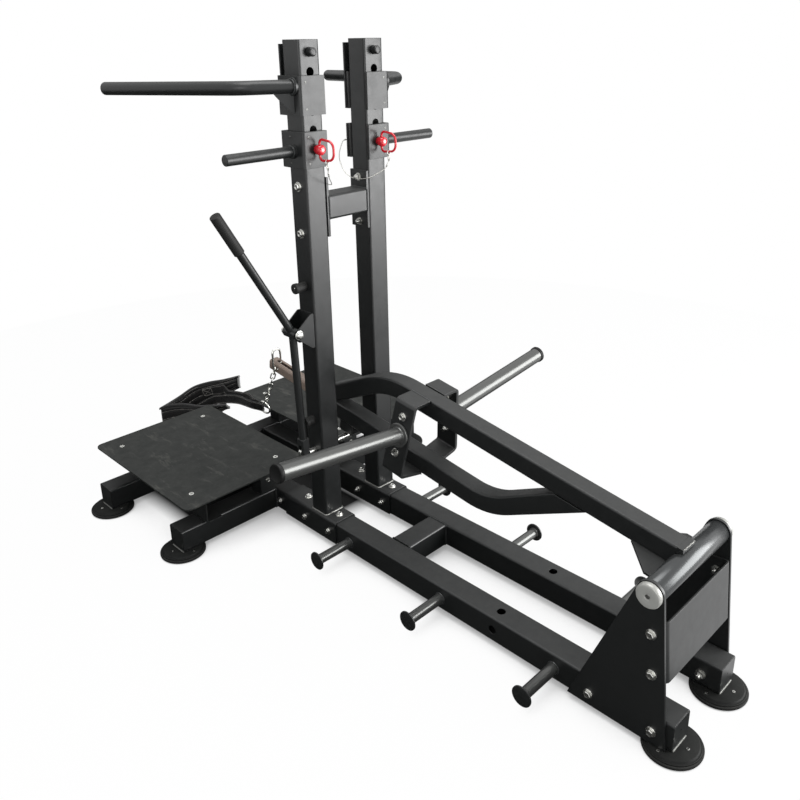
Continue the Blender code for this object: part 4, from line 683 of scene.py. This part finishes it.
def build_pegs(side):
    disc = 0.3
    for i, y in enumerate((0.16, 0.57, 0.979), 1):
        at = Vector((0, y, 0.06))
        lathe(((RAIL_OUT + GAP, 0.016), (disc - 0.0022, 0.016), (disc - 0.0008, 0.0176),
               (disc - 0.0004, 0.0176)), at, X, 56)
        piece("peg_*_%d" % i, "frame", ROUND_COAT, side, "band_peg_*_%d" % i)
        lathe(((disc, 0.029), (disc + 0.0008, 0.03), (disc + 0.004, 0.03),
               (disc + 0.005, 0.0288)), at, X, 56)
        piece("peg_disc_*_%d" % i, "frame", COAT, side)
        bead(arc(at + X * (RAIL_OUT + PROUD), Y * 0.0172, Z * 0.0172, 28), 0.0022, True)
        piece("peg_weld_*_%d" % i, "frame", WELD, side)


def build_tube_ends(side):
    for at, axis, across in (((0.589, -0.707, RAIL_Z), X, Y), ((0.548, SIDE_LEG_Y, RAIL_Z), X, Y),
                             ((RAIL_X, RAIL_REAR, RAIL_Z), Y, X)):
        prism(rounded_rect(0.0775, 0.0775, 0.0075), -0.0002, 0.0012, (across, Z, axis),
              Vector(at))
    piece("tube_ends_*", "frame", COAT, side, bevel=0.0004)
    lathe(((0.001, 0.0022), (0.0015, 0.002)), (RAIL_X, RAIL_REAR, 0.066), Y, 16)
    prism(rounded_rect(UPRIGHT - 0.004, UPRIGHT - 0.004, 0.006), -0.0006, -0.0001, (X, Y, Z),
          Vector((UPRIGHT_X, 0, UPRIGHT_TOP)))
    piece("end_marks_*", "frame", DARK_CAP, side)


def square_bead(centre, half, a, b, radius):
    """A weld all round a square tube."""
    corners = rounded_rect(2 * half, 2 * half, 0.008, 5)
    bead([Vector(centre) + a * p[0] + b * p[1] for p in corners], radius, True)


def build_welds(side):
    square_bead((UPRIGHT_X, 0, SADDLE_TOP + PROUD), UPRIGHT / 2 + PROUD, X, Y, 0.0026)
    piece("upright_weld_*", "frame", BARE_WELD, side)
    half = RAIL / 2 + 0.0002
    square_bead((0.0766, 0, 1.15025), 0.0381, Y, Z, 0.0022)
    square_bead((RAIL_OUT + PROUD, SIDE_LEG_Y, RAIL_Z), half, Y, Z, 0.0024)
    square_bead((RAIL_IN - PROUD, 0.3257, RAIL_Z), half, Y, Z, 0.0024)
    square_bead((RAIL_X, -0.6665, RAIL_Z), half, X, Z, 0.0024)
    piece("frame_welds_*", "frame", WELD, side)


# ---- arm: horns, hub and welds

ARM, ARM_SLOPE, ARM_Z = 0.06, 0.1548, 0.6431
ARM_LONG = math.sqrt(1 + ARM_SLOPE ** 2)
HORN_Y = 0.3649
ARM_FRAME = (Matrix.Translation((0, HORN_Y, ARM_Z - ARM_SLOPE * HORN_Y))
             @ Matrix.Rotation(-math.atan(ARM_SLOPE), 4, "X"))
WALL_TOP, WALL_FOOT, HORN_N = (0.0965, 0.03), (0.131, -0.213), -0.079
WALL_LEAN = math.atan2(WALL_FOOT[0] - WALL_TOP[0], WALL_TOP[1] - WALL_FOOT[1])
HORN_AXIS = Vector((math.cos(WALL_LEAN), 0, math.sin(WALL_LEAN)))
HORN_END = 0.57
HUB_R, HUB_END = 0.03, 0.165


def wall_point(n):
    share = (WALL_TOP[1] - n) / (WALL_TOP[1] - WALL_FOOT[1])
    return Vector((WALL_TOP[0] + share * (WALL_FOOT[0] - WALL_TOP[0]), 0, n))


def build_horns(side):
    root = wall_point(HORN_N) + HORN_AXIS * GAP
    length = (HORN_END - root.x) / HORN_AXIS.x
    cap = length - 0.012
    lathe(((0, 0.037), (0.0008, 0.038), (0.0052, 0.038), (0.0066, 0.0366), (0.007, 0.035),
           (0.007, 0.0275), (0.0085, 0.0258), (0.011, 0.025), (cap, 0.025)), root, HORN_AXIS, 72)
    piece("horn_*", "arm", ROUND_COAT, side, "weight_horn_*", local=ARM_FRAME)
    lathe(((cap - 0.0008, 0.0262), (cap + 0.0006, 0.0275), (length - 0.003, 0.0275),
           (length - 0.0008, 0.0262), (length, 0.024), (length - 0.0004, 0.0225),
           (length - 0.001, 0.0215)), root, HORN_AXIS, 72)
    piece("horn_cap_*", "arm", DARK_CAP, side, local=ARM_FRAME)
    for reach in (0.061, -0.061):
        at = wall_point(HORN_N + reach * math.cos(WALL_LEAN))
        bolt(at, HORN_AXIS, 1.12, reach * 11)
        nut(at - HORN_AXIS * 0.01, -HORN_AXIS)
    piece("horn_bolts_*", "arm", ZINC, side, local=ARM_FRAME)
    for out, z, radius in ((PROUD, ARM / 2 - 0.0002, 0.002), (0.0022, -0.238, 0.0022)):
        bead([Vector((ARM / 2 + out, y, z)) for y in (-0.04, 0.04)], radius)
    piece("bracket_welds_*", "arm", WELD, side, local=ARM_FRAME)


def arm_top(y):
    """Height of the arm's top face."""
    return ARM_Z - ARM_SLOPE * y + ARM / 2 * ARM_LONG


def build_hub():
    """The arm tube's end coped over the hub, the weld along it and the hub's painted skin."""
    outline = [(1.233, arm_top(1.233)), (1.2163, arm_top(1.2163))]
    for k in range(7):
        y = 1.2105 + (1.233 - 1.2105) * k / 6
        outline.append((y, HINGE.z + math.sqrt((HUB_R + 0.0008) ** 2 - (y - HINGE.y) ** 2)))
    prism(outline, -ARM / 2, ARM / 2, (Y, Z, X))
    piece("arm_end", "arm", COAT, bevel=0.0008)
    along = Vector((0, 1, -ARM_SLOPE)).normalized()
    edge = Vector((0, 1.2332, arm_top(1.2332) - PROUD))
    bead([edge + X * (0.0275 * math.sin(math.pi * (k / 12 - 0.5)))
          + along * 0.0009 * math.sin(k * 2.3) for k in range(13)], 0.0017)
    piece("hub_weld", "arm", BARE_WELD)
    end, skin = HUB_END, HUB_R + 0.0003
    lathe(((-end, HUB_R - 0.003), (-end, HUB_R - 0.0004), (-end + 0.0008, skin),
           (end - 0.0008, skin), (end, HUB_R - 0.0004), (end, HUB_R - 0.003)), HINGE, X, 96,
          shut=False)
    piece("hub_skin", "arm", HUB_SHADED_COAT, smooth=50)


def build_hub_sides(side):
    along = Vector((0, 1, -ARM_SLOPE)).normalized()
    normal = Vector((0, ARM_SLOPE, 1)).normalized()
    y = 1.105
    start = Vector((ARM / 2 + PROUD, y, ARM_Z - ARM_SLOPE * y)) - normal * (ARM / 2 - 0.001)
    bead([start, start + along * 0.1], 0.0022)
    piece("hub_side_weld_*", "arm", WELD, side)
    end = HINGE + X * 0.1742
    lathe(((0, 0.015), (0, 0.0312), (0.0008, 0.0319), (0.0098, 0.0319), (0.0128, 0.03),
           (0.0143, 0.028), (0.0143, 0.0092), (0.0136, 0.008), (0.012, 0.0074), (0.012, 0)),
          end, X, 64, shut=False)
    piece("shaft_cap_*", "frame", STEEL_CAP, side)
    lathe(((0.0115, 0.0066), (0.013, 0.0066), (0.0136, 0.0058)), end, X, 6)
    piece("shaft_socket_*", "frame", SCREW, side)


# ---- hand holds and pull pins

LOCK_Z = 1.329
RING_Y, RING_HALF, RING_TIP_HALF, RING_WIRE_R = (0.062, 0.124), 0.0315, 0.0252, 0.0035
RING_LOW = LOCK_Z - RING_HALF - RING_WIRE_R
CORD_R = 0.00125
HOLDS = (("upper", "hold_*", (1.516, 1.442), (0.0185, 1.5049), 0.0205, 0.002),
         ("lower", "frame", (1.366, 1.29), (0, 1.324), 0.0168, 0.0018))


def build_hand_holds(side):
    for part, body, heights, (y, z), reach, radius in HOLDS:
        for height in heights:
            screw((UPRIGHT_X + 0.028, WRAP_REAR, height), Y, 0.0028)
            screw((WRAP_X, -0.009, height), X, 0.0028)
        piece(part + "_screws_*", body, SCREW, side)
        bead(arc(Vector((WRAP_X + 0.0076, y, z)), Y * reach, Z * reach, 28), radius, True)
        piece(part + "_grip_weld_*", body, WELD, side)


def build_pull_pins(side):
    at = Vector((UPRIGHT_X, WRAP_REAR + GAP, LOCK_Z))
    lathe(((-0.0278, 0.0085), (-0.0262, 0.0108), (-0.0248, 0.0115), (0, 0.0115), (0, 0.0118),
           (0.0008, 0.0125), (0.0045, 0.0125), (0.0058, 0.0131), (0.0085, 0.0148),
           (0.012, 0.0154), (0.016, 0.0155), (0.021, 0.0149), (0.0245, 0.0128),
           (0.0268, 0.0096), (0.0276, 0.0062), (0.0276, 0.0046), (0.0266, 0.0042)), at, Y)
    piece("pull_knob_*", "pin_*", RED, side, "pull_pin_*", smooth=50)
    lathe(((0.0264, 0.004), (0.0274, 0.0038), (0.0278, 0.0026)), at, Y, 24)
    piece("pull_button_*", "pin_*", ZINC, side)
    corners = [Vector((UPRIGHT_X, RING_Y[tip], LOCK_Z + half)) for tip, half in
               ((0, -RING_HALF), (0, RING_HALF), (1, RING_TIP_HALF), (1, -RING_TIP_HALF))]
    sweep(fillet(corners, (0.013, 0.013, 0.022, 0.022), 14), circle(RING_WIRE_R, 14), X, True)
    piece("finger_loop_*", "finger_ring_*", RED, side, "pull_ring_*", smooth=60)


# The lanyard's way from the finger ring to the bracket's lip; heights are over the ring's foot
FALL = ((0.1224, 0.093, 0.0026), (0.121, 0.0935, -0.022), (0.111, 0.085, -0.045),
        (0.084, 0.061, -0.066), (0.068, 0.038, -0.075), (0.061, -0.005, -0.077),
        (0.06, -0.046, -0.06), (0.068, -0.078, -0.018), (0.086, -0.08, 0.026),
        (0.097, -0.07, 0.034), (0.1, -0.0564, 0.036))


def build_lanyard(side):
    """Steel cord with crimped eyes: on the bracket's lip, and on a split ring in the loop."""
    route = smooth_route([Vector(p) + Z * RING_LOW for p in FALL], 0.004)
    cut = next(i for i, p in enumerate(route) if p.z < RING_LOW - 0.02)
    main, eye = route[cut:][::-1], route[:cut + 1]
    bottom, top = eye[-1], eye[0]
    sweep(main, circle(CORD_R, 10), Z)
    cord = piece("pin_lanyard_*", "frame", CORD_STEEL, side, "pin_cord_*", smooth=60)
    for a, b in ((3, 6), (len(main) - 6, len(main) - 3)):
        way = main[b] - main[a]
        lathe(((0, 0.0021), (0.0008, 0.0026), (0.0045, 0.0026), (0.0052, 0.0019), (0.006, 0.0026),
               (way.length - 0.0008, 0.0026), (way.length, 0.0021)), main[a], way, 20)
    crimps = piece("lanyard_crimps_*", "frame", ZINC, side)
    sweep(eye, circle(CORD_R, 10), X)
    sweep(arc(bottom.lerp(top, 0.5), Y * 0.0042, (top - bottom) * 0.5, 24),
          circle(0.00115, 8), X, True)
    noose = piece("lanyard_eye_*", "pin_*", CORD_STEEL, side, smooth=60)
    for y in (0.0923, 0.0937):
        sweep(arc(Vector((UPRIGHT_X, y, RING_LOW + 0.003)), X * 0.0062, Z * 0.0062, 28),
              circle(0.0008, 8), Y, True)
    piece("split_ring_*", "finger_ring_*", ZINC, side, smooth=60)
    lathe(((0, 0.0045), (0.0006, 0.0048), (0.002, 0.0044), (0.0026, 0.003)),
          (0.1, -WRAP_FRONT, 1.33), -Y, 24)
    piece("lanyard_screw_*", "frame", ZINC, side)
    place = placed(side)
    path = [place @ p for p in main]
    pin, middle = "pin_" + side, path[int(len(path) * 0.45)]
    for thing, a, b, start, stop in (
            (cord, "frame", pin, middle, path[-1]), (crimps, "frame", pin, middle, path[-1]),
            (noose, pin, "finger_ring_" + side, place @ bottom, place @ top)):
        world = thing.matrix_world.copy()
        thing.parent = None
        thing.matrix_world = world
        del thing["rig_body"]
        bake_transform(thing, a, b, start, stop)


# ---- hand lever and bumpers

PIVOT = Vector((0.219, 0, 0.777))
LEVER_LEAN, LEVER_REACH, LEVER_GRIP, SLEEVE_R, RIBS = math.radians(29.9), 0.466, 0.136, 0.0163, 22
STOPS = (("lower", 0.458, 0.1951), ("upper", 0.914, 0.2015))


def build_lever():
    lathe(((0.0343, 0), (0.0343, 0.015), (0.0356, 0.015), (0.0361, 0.0143), (0.0361, 0.0124),
           (0.0372, 0.0126), (0.04, 0.0122), (0.0425, 0.0102), (0.044, 0.007), (0.0443, 0)),
          PIVOT, Y, 40, shut=False)
    lathe(((0.0343, 0.0132), (0.036, 0.0132)), PIVOT, -Y, 40)
    lathe(((0.0358, 0.0112), (0.0425, 0.0112), (0.0438, 0.0095)), PIVOT, -Y, 6)
    piece("lever_bolt", "frame", ZINC)
    r = SLEEVE_R
    profile = [(-0.0012, r - 0.0013), (0, r)]
    for along in (LEVER_GRIP * k / RIBS for k in range(1, RIBS)):
        profile += [(along - 0.0012, r), (along, r - 0.0004), (along + 0.0012, r)]
    profile += [(LEVER_GRIP - 0.003, r), (LEVER_GRIP - 0.0008, r - 0.0011),
                (LEVER_GRIP + 0.0002, r - 0.0033)]
    up = Vector((math.sin(LEVER_LEAN), 0, math.cos(LEVER_LEAN)))
    lathe(profile, PIVOT + up * (LEVER_REACH - LEVER_GRIP), up, 40)
    piece("lever_sleeve", "lever", RUBBER, smooth=50)
    for name, z, reach in STOPS:
        end = (reach, 0, z)
        lathe(((UPRIGHT_OUT + GAP - reach, 0.015), (-0.014, 0.015), (-0.0135, 0.0158),
               (-0.0125, 0.0165), (-0.0022, 0.0165), (-0.0006, 0.0158), (0, 0.0145),
               (0, 0.006), (-0.0008, 0.005), (-0.003, 0.0046)), end, X, 48)
        piece(name + "_stop", "frame", RUBBER, "", name + "_bumper", smooth=35)
        lathe(((-0.0034, 0.0044), (-0.002, 0.0042), (-0.0014, 0.003)), end, X, 24)
        piece(name + "_stop_screw", "frame", ZINC)


# ---- hook, chain and ring

HOOK_R, HOOK_WIRE, HOOK_TALL = 0.017, 0.004, 0.048
HOOK_MID = Vector((HOOK_R, -0.385, 0.497))
HOOK_HANG = HOOK_MID + Vector((HOOK_R, 0, -HOOK_R)) * math.sqrt(0.5)
RING_AT, RING_R, RING_WIRE = Vector((0.008, -0.505, 0.2835)), 0.0265, 0.0035
STRAP_PULL = Vector((0.161, -0.987, 0))
LINK_WIRE, LINK_SIDE, LINKS, LINK_BITE = 0.00225, 0.0078, 7, 0.0004
DOWN = (RING_AT - HOOK_HANG).normalized()
FIRST = (Vector((1, 0, 1)) - DOWN * Vector((1, 0, 1)).dot(DOWN)).normalized()
LAST = (STRAP_PULL - DOWN * STRAP_PULL.dot(DOWN)).normalized()
ACROSS = -DOWN.cross(LAST)
PULL = (STRAP_PULL - ACROSS * STRAP_PULL.dot(ACROSS)).normalized()


def build_hook():
    """Snap hook: an open wire oval, its sprung gate, the gate's hinge pin and nose."""
    high = HOOK_MID + Z * HOOK_TALL
    side, rise = X * HOOK_R, Z * HOOK_R
    path = [HOOK_MID - side + Z * 0.006, *arc(HOOK_MID, side, rise, 25, math.pi, math.pi, True),
            *arc(high, side, rise, 25, 0, math.pi, True), high - side - Z * 0.004]
    sweep(path, circle(HOOK_WIRE, 16), Y)
    piece("snap_hook_body", "hook", CHAIN_ZINC, "", "snap_hook", smooth=60)
    gate = path[-1] - path[0]
    lathe(((0, 0.0026), (0.0006, 0.0032), (gate.length - 0.003, 0.0032),
           (gate.length - 0.0022, 0.0039), (gate.length + 0.0002, 0.0039)),
          path[0] - Z * 0.0008, gate, 24)
    lathe(((-0.0042, 0.0012), (-0.0038, 0.0016), (0.0038, 0.0016), (0.0042, 0.0012)),
          path[0] + Z * 0.003, Y, 16)
    piece("snap_hook_gate", "hook", ZINC, smooth=50)


def build_chain():
    lean = math.sqrt(1 - Vector((1, 0, 1)).normalized().dot(DOWN) ** 2)
    top_grip = (HOOK_WIRE + LINK_WIRE + 0.0002) / lean
    start = HOOK_HANG - DOWN * top_grip
    total = (RING_AT - HOOK_HANG).length - RING_R + RING_WIRE + LINK_WIRE + GAP + top_grip
    twist = math.atan2(FIRST.cross(LAST).dot(DOWN), FIRST.dot(LAST))
    pitch = (total - 2 * LINK_WIRE + LINK_BITE) / LINKS
    half = (pitch + 2 * LINK_WIRE - LINK_BITE) / 2
    for i in range(LINKS):
        turn = i * math.pi / 2 + twist * i / (LINKS - 1)
        normal = Matrix.Rotation(turn, 4, DOWN) @ FIRST
        centre = start + DOWN * (half + pitch * i)
        side, rise = normal.cross(-DOWN) * LINK_SIDE, -DOWN * LINK_SIDE
        path = []
        for way, begin in ((1, 0), (-1, math.pi)):
            end = centre - DOWN * (way * (half - LINK_SIDE))
            path += arc(end, side, rise, 15, begin, math.pi, True)
        sweep(path, circle(LINK_WIRE, 12), normal, True)
    piece("chain_links", "chain", CHAIN_ZINC, "", "lift_chain", smooth=60)
    sweep(arc(RING_AT, (-DOWN).cross(ACROSS) * RING_R, -DOWN * RING_R, 72),
          circle(RING_WIRE, 16), ACROSS, True)
    piece("hip_ring_round", "ring", CHAIN_ZINC, "", "hip_ring", smooth=60)


# ---- hip belt

PAD_EDGE = ((0.03, -0.75, 0.223), (0.056, -0.783, 0.218), (0.074, -0.82, 0.2115),
            (0.089, -0.862, 0.2035), (0.106, -0.95, 0.189), (0.125, -1.025, 0.169),
            (0.138, -1.08, 0.146), (0.138, -1.1072, 0.1305), (0.12, -1.1162, 0.1285),
            (0.1, -1.1162, 0.133), (0.05, -1.1, 0.156), (0.000, -1.055, 0.2005),
            (-0.035, -0.985, 0.233), (-0.06, -0.9, 0.2625), (-0.085, -0.816, 0.2975))
PAD_T, PAD_END_H, PAD_BACK_H = 0.012, 0.058, 0.1282
PAD_LEAN, PAD_LEAN_SHARE = math.radians(52), 0.2
PAD_ROUTE = smooth_route(PAD_EDGE, 0.002)
PAD_LENGTH = sum((b - a).length for a, b in zip(PAD_ROUTE, PAD_ROUTE[1:]))
CHANNELS = (0.22, 0.5, 0.78)            # shares of the depth
SEAMS = (*CHANNELS, 0.085, 0.915)
STRAP_T, STRAP_W = 0.004, 0.038
STRAP_NEAR = ((0.02, -0.657, 0.2695), (0.024, -0.725, 0.2545), (0.03, -0.78, 0.237),
              (0.042, -0.83, 0.219))
STRAP_FAR = ((-0.045, -0.8355, 0.2175), (-0.03, -0.734, 0.2465), (-0.014, -0.636, 0.272))
STRAP_SEWN_NEAR, STRAP_NEAR_DROP = (21, 24, 27, 30, 33, 36), 0.03
STRAP_SEWN_FAR, STRAP_FAR_DROP = (28, 25, 22, 19, 16, 13, 10), 0.043
STRAP_PEEL = (0.006, 0.0022, 0.0008, 0.0002, 0.0002, 0.0002, 0.0002)
STITCH, STITCH_SHARE, STITCH_WIDTH = 0.0062, 0.62, 0.0011


def eased(share):
    return share * share * (3 - 2 * share)


def pad_axes(share, ahead):
    """Up the pad's width and out of its inner face; the free near end leans outward."""
    face = Vector((ahead.y, -ahead.x, 0)).normalized()
    lean = PAD_LEAN * eased(max(0, 1 - share / PAD_LEAN_SHARE))
    return (Z * math.cos(lean) - face * math.sin(lean),
            face * math.cos(lean) + Z * math.sin(lean))


def pad_frame(share):
    """Top edge point, inward face, up direction and depth at a share of the pad's length."""
    last = len(PAD_ROUTE) - 1
    i = min(max(round(share * last), 0), last)
    up, face = pad_axes(share, PAD_ROUTE[min(i + 8, last)] - PAD_ROUTE[max(i - 8, 0)])
    depth = PAD_END_H + (PAD_BACK_H - PAD_END_H) * max(math.sin(math.pi * share), 0) ** 1.2
    return PAD_ROUTE[i], face, up, depth


def draw_pad(count=150, around=28):
    """The pad before it swells: a band on edge, a little thinner than it ends up."""
    rings = []
    for share in (i / count for i in range(count + 1)):
        top, across, up, depth = pad_frame(share)
        plump = (PAD_T / 2 - 0.0012) * (0.55 + 0.45 * min(1, 10 * min(share, 1 - share)))
        ring = []
        for a in (math.tau * k / around for k in range(around)):
            reach, lift = (math.copysign(abs(v) ** 0.5, v) for v in (math.cos(a), math.sin(a)))
            rise = (depth - 0.003) / 2 * (lift - 1) - 0.0015
            ring.append(DRAFT.verts.new(top + across * plump * reach + up * rise))
        rings.append(ring)
    for a, b in zip(rings, rings[1:]):
        bridge(a, b)
    DRAFT.faces.new(rings[0])
    DRAFT.faces.new(rings[-1])


def bake(thing):
    graph = bpy.context.evaluated_depsgraph_get()
    mesh = bpy.data.meshes.new_from_object(thing.evaluated_get(graph))
    thing.modifiers.clear()
    thing.data = mesh


def swell(pad, pressure=4.0, most=0.0045):
    """Cloth pressure rounds the pad; no point moves further than most."""
    remesh = pad.modifiers.new("remesh", "REMESH")
    remesh.mode, remesh.voxel_size = "VOXEL", 0.0042
    bake(pad)
    before = [v.co.copy() for v in pad.data.vertices]
    cloth = pad.modifiers.new("cloth", "CLOTH")
    settings = cloth.settings
    settings.quality, settings.mass = 5, 0.25
    settings.tension_stiffness = settings.compression_stiffness = 12
    settings.bending_stiffness = 0.8
    settings.use_pressure, settings.uniform_pressure_force = True, pressure
    settings.effector_weights.gravity = 0
    cloth.collision_settings.use_collision = False
    for step in range(1, 21):
        bpy.context.scene.frame_set(step)
    bake(pad)
    bpy.context.scene.frame_set(1)
    for vertex, old in zip(pad.data.vertices, before):
        move = vertex.co - old
        if move.length > most:
            vertex.co = old + move.normalized() * most


def crease(vertex):
    """Draws the faces in along the sewn channels."""
    last = len(PAD_ROUTE) - 1
    found = min(range(0, last + 1, 6),
                key=lambda i: (PAD_ROUTE[i].xy - vertex.co.xy).length_squared)
    top, across, up, depth = pad_frame(found / last)
    down = (top - vertex.co).dot(up) / depth
    pull = max(math.exp(-((down - channel) * depth / 0.0035) ** 2) for channel in CHANNELS)
    vertex.co -= across * (vertex.co - top).dot(across) * 0.34 * pull


def build_pad():
    draw_pad()
    pad = take("belt_pad_soft")
    swell(pad)
    for vertex in pad.data.vertices:
        crease(vertex)
        vertex.co.z = max(vertex.co.z, 0.0006)
    pad.data.transform(SHIFT)
    pad.data.shade_smooth()
    pad.data.materials.clear()
    pad.data.materials.append(PAD_SKIN)
    fine = pad.modifiers.new("fine", "SUBSURF")
    fine.levels = fine.render_levels = 1
    hand_over(pad, "belt", "belt_pad")
    return pad


def on_pad(tree, share, down, face):
    """Point and normal just off the pad's face at a share of its length and of its depth."""
    top, across, up, depth = pad_frame(share)
    middle = top - up * depth * down
    hit, normal, _, _ = tree.ray_cast(middle + across * face * 0.05, -across * face, 0.06)
    if hit is None:
        hit, normal = middle + across * face * PAD_T / 2, across * face
    return hit + normal * 0.0002, normal


def dash(a, b, normal, width=STITCH_WIDTH):
    """One stitch: a thread arched from a to b."""
    middle = a.lerp(b, 0.5) + normal * 0.0005
    sweep([a - normal * 0.0006, a.lerp(middle, 0.6), middle, b.lerp(middle, 0.6),
           b - normal * 0.0006], circle(width / 2, 6), normal)


def build_belt_trim(pad):
    flat = pad.evaluated_get(bpy.context.evaluated_depsgraph_get()).to_mesh()
    back = SHIFT.inverted()
    tree = BVHTree.FromPolygons([back @ v.co for v in flat.vertices],
                                [tuple(p.vertices) for p in flat.polygons])
    count = int(PAD_LENGTH / STITCH)
    for face in (1, -1):
        for down in SEAMS:
            for i in range(3, count - 3):
                a, normal = on_pad(tree, i / count, down, face)
                b, _ = on_pad(tree, (i + STITCH_SHARE) / count, down, face)
                dash(a, b, normal)
    piece("belt_stitching", "belt", THREAD, smooth=60)
    half, steps = PAD_T / 2 + 0.0006, 120
    outline = [(-half, -0.0062), (-half - 0.0002, 0.001), (-half * 0.6, 0.0034), (0, 0.004),
               (half * 0.6, 0.0034), (half + 0.0002, 0.001), (half, -0.0062),
               (half - 0.0011, -0.0062), (half - 0.0013, 0.0006), (0, 0.0026),
               (-half + 0.0013, 0.0006), (-half + 0.0011, -0.0062)]
    sizes = [0.8 + 0.2 * min(1, 10 * min(i, steps - i) / steps) for i in range(steps + 1)]
    for lower in (False, True):
        path, ups = [], []
        for i in range(steps + 1):
            top, _, up, depth = pad_frame(i / steps)
            path.append(top - up * (depth - 0.0035 if lower else 0.0035))
            ups.append(-up if lower else up)
            if lower:
                path[-1].z = max(path[-1].z, 0.0045)
        sweep(path, outline, Z, ups=ups, sizes=sizes, uv=True)
    piece("belt_edge_tape", "belt", BINDING, smooth=60)
    for share in (0.004, 0.996):
        top, across, up, depth = pad_frame(share)
        sweep([top - up * (0.002 + (depth - 0.004) * k / 14) for k in range(15)],
              rounded_rect(0.0098, 0.009, 0.003, 3), across)
    piece("belt_end_hems", "belt", HEM, smooth=60)


def strap_route():
    """The strap's middle line from the far wing, round the ring, to the near wing."""
    across = ACROSS if ACROSS.x > 0 else -ACROSS
    width = ACROSS.cross(PULL)
    if width.z < 0:
        width = -width
    stand = PAD_T / 2 + STRAP_T / 2 + GAP
    route = smooth_route(PAD_EDGE, 0.008)
    last = len(route) - 1

    def inside(index, drop, peel):
        up, face = pad_axes(index / last, route[index + 1] - route[index - 1])
        return route[index] + face * (stand + peel) - up * drop

    near = [inside(i, STRAP_NEAR_DROP, peel) for i, peel in zip(STRAP_SEWN_NEAR, STRAP_PEEL)]
    far = [inside(last - i, STRAP_FAR_DROP, peel)
           for i, peel in zip(reversed(STRAP_SEWN_FAR), STRAP_PEEL)][::-1]
    turn = arc(RING_AT + PULL * 0.0154, PULL * -0.0058, across * 0.0058, 15, -math.pi / 2,
               math.pi, True)
    leg, away = ([RING_AT + PULL * out + across * s * apart for s in (-1, 1)]
                 for out, apart in ((0.04, 0.0072), (0.062, 0.0095)))
    path = smooth_route([*far, *STRAP_FAR, away[0], leg[0], turn[0]], 0.005)[:-1]
    path += turn
    path += smooth_route([turn[-1], leg[1], away[1], *STRAP_NEAR, *near], 0.005)[1:]
    shares = (min(1, max(0, ((point - RING_AT).length - 0.045) / 0.1)) for point in path)
    return path, [width.lerp(Z, eased(share)) for share in shares]


def build_strap():
    path, widths = strap_route()
    t, w = STRAP_T / 2, STRAP_W / 2
    face = [(t * 0.55, -w), (t * 0.95, -w + 0.0012), (t * 0.8, -w + 0.0042), (t, -w * 0.45),
            (t * 1.05, 0), (t, w * 0.45), (t * 0.8, w - 0.0042), (t * 0.95, w - 0.0012),
            (t * 0.55, w)]
    back = [(-x, y) for x, y in reversed(face)]
    sweep(path, back[-1:] + face + back[:-1], Z, ups=widths, uv=True)
    piece("hip_strap", "belt", STRAP, "", "belt_strap", smooth=60)
    frames = []
    for i, point in enumerate(path):
        tangent = (path[min(i + 1, len(path) - 1)] - path[max(i - 1, 0)]).normalized()
        up = (widths[i] - tangent * widths[i].dot(tangent)).normalized()
        frames.append((point, tangent.cross(up), up))
    for face in (1, -1):
        for edge in (1, -1):
            for (p, side, up), (q, _, _) in zip(frames[2:-3], frames[3:]):
                off = side * face * t * 0.86 + up * edge * (w - 0.004)
                dash(p + off, p.lerp(q, STITCH_SHARE) + off, side * face, 0.001)
    last = len(frames) - 1
    for first, second in ((2, 12), (last - 2, last - 12), (last - 14, last - 24)):
        (p, side, up), (q, _, up2) = frames[first], frames[second]
        corners = [p + up * 0.014, q + up2 * 0.014, q - up2 * 0.014, p - up * 0.014]
        face = side if side.x > 0 else -side
        for a, b in ((0, 1), (1, 2), (2, 3), (3, 0), (0, 2), (1, 3)):
            a, b = corners[a] + face * t * 1.08, corners[b] + face * t * 1.08
            steps = max(4, int((b - a).length / 0.0042))
            for k in range(steps):
                dash(a.lerp(b, k / steps), a.lerp(b, (k + STITCH_SHARE) / steps), face)
    piece("strap_stitching", "belt", THREAD, smooth=60)


# ---- the scene

def main():
    bpy.context.scene.view_settings.view_transform = "Standard"
    stage_camera()
    stage_world()
    stage_floor()
    stage_flags()
    lamp("side", (-2.4, 3.5, 1.45), (0, 0.3, 1.0), (3.4, 2.6), 235)
    lamp("top", (0.1, 0.2, 4.3), (0, 0.2, 0), (2.4, 2.6), 100)
    lamp("fill", (4.2, 2.6, 2.2), (0, 0.1, 0.5), (2.0, 2.0), 36)
    dress_nodes()
    build_hub()
    for build in (build_fasteners, build_feet, build_pegs, build_tube_ends, build_welds,
                  build_horns, build_hub_sides, build_hand_holds, build_pull_pins, build_lanyard):
        for side in SIDES:
            build(side)
    build_lever()
    build_hook()
    build_chain()
    build_belt_trim(build_pad())
    build_strap()
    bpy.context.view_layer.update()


main()
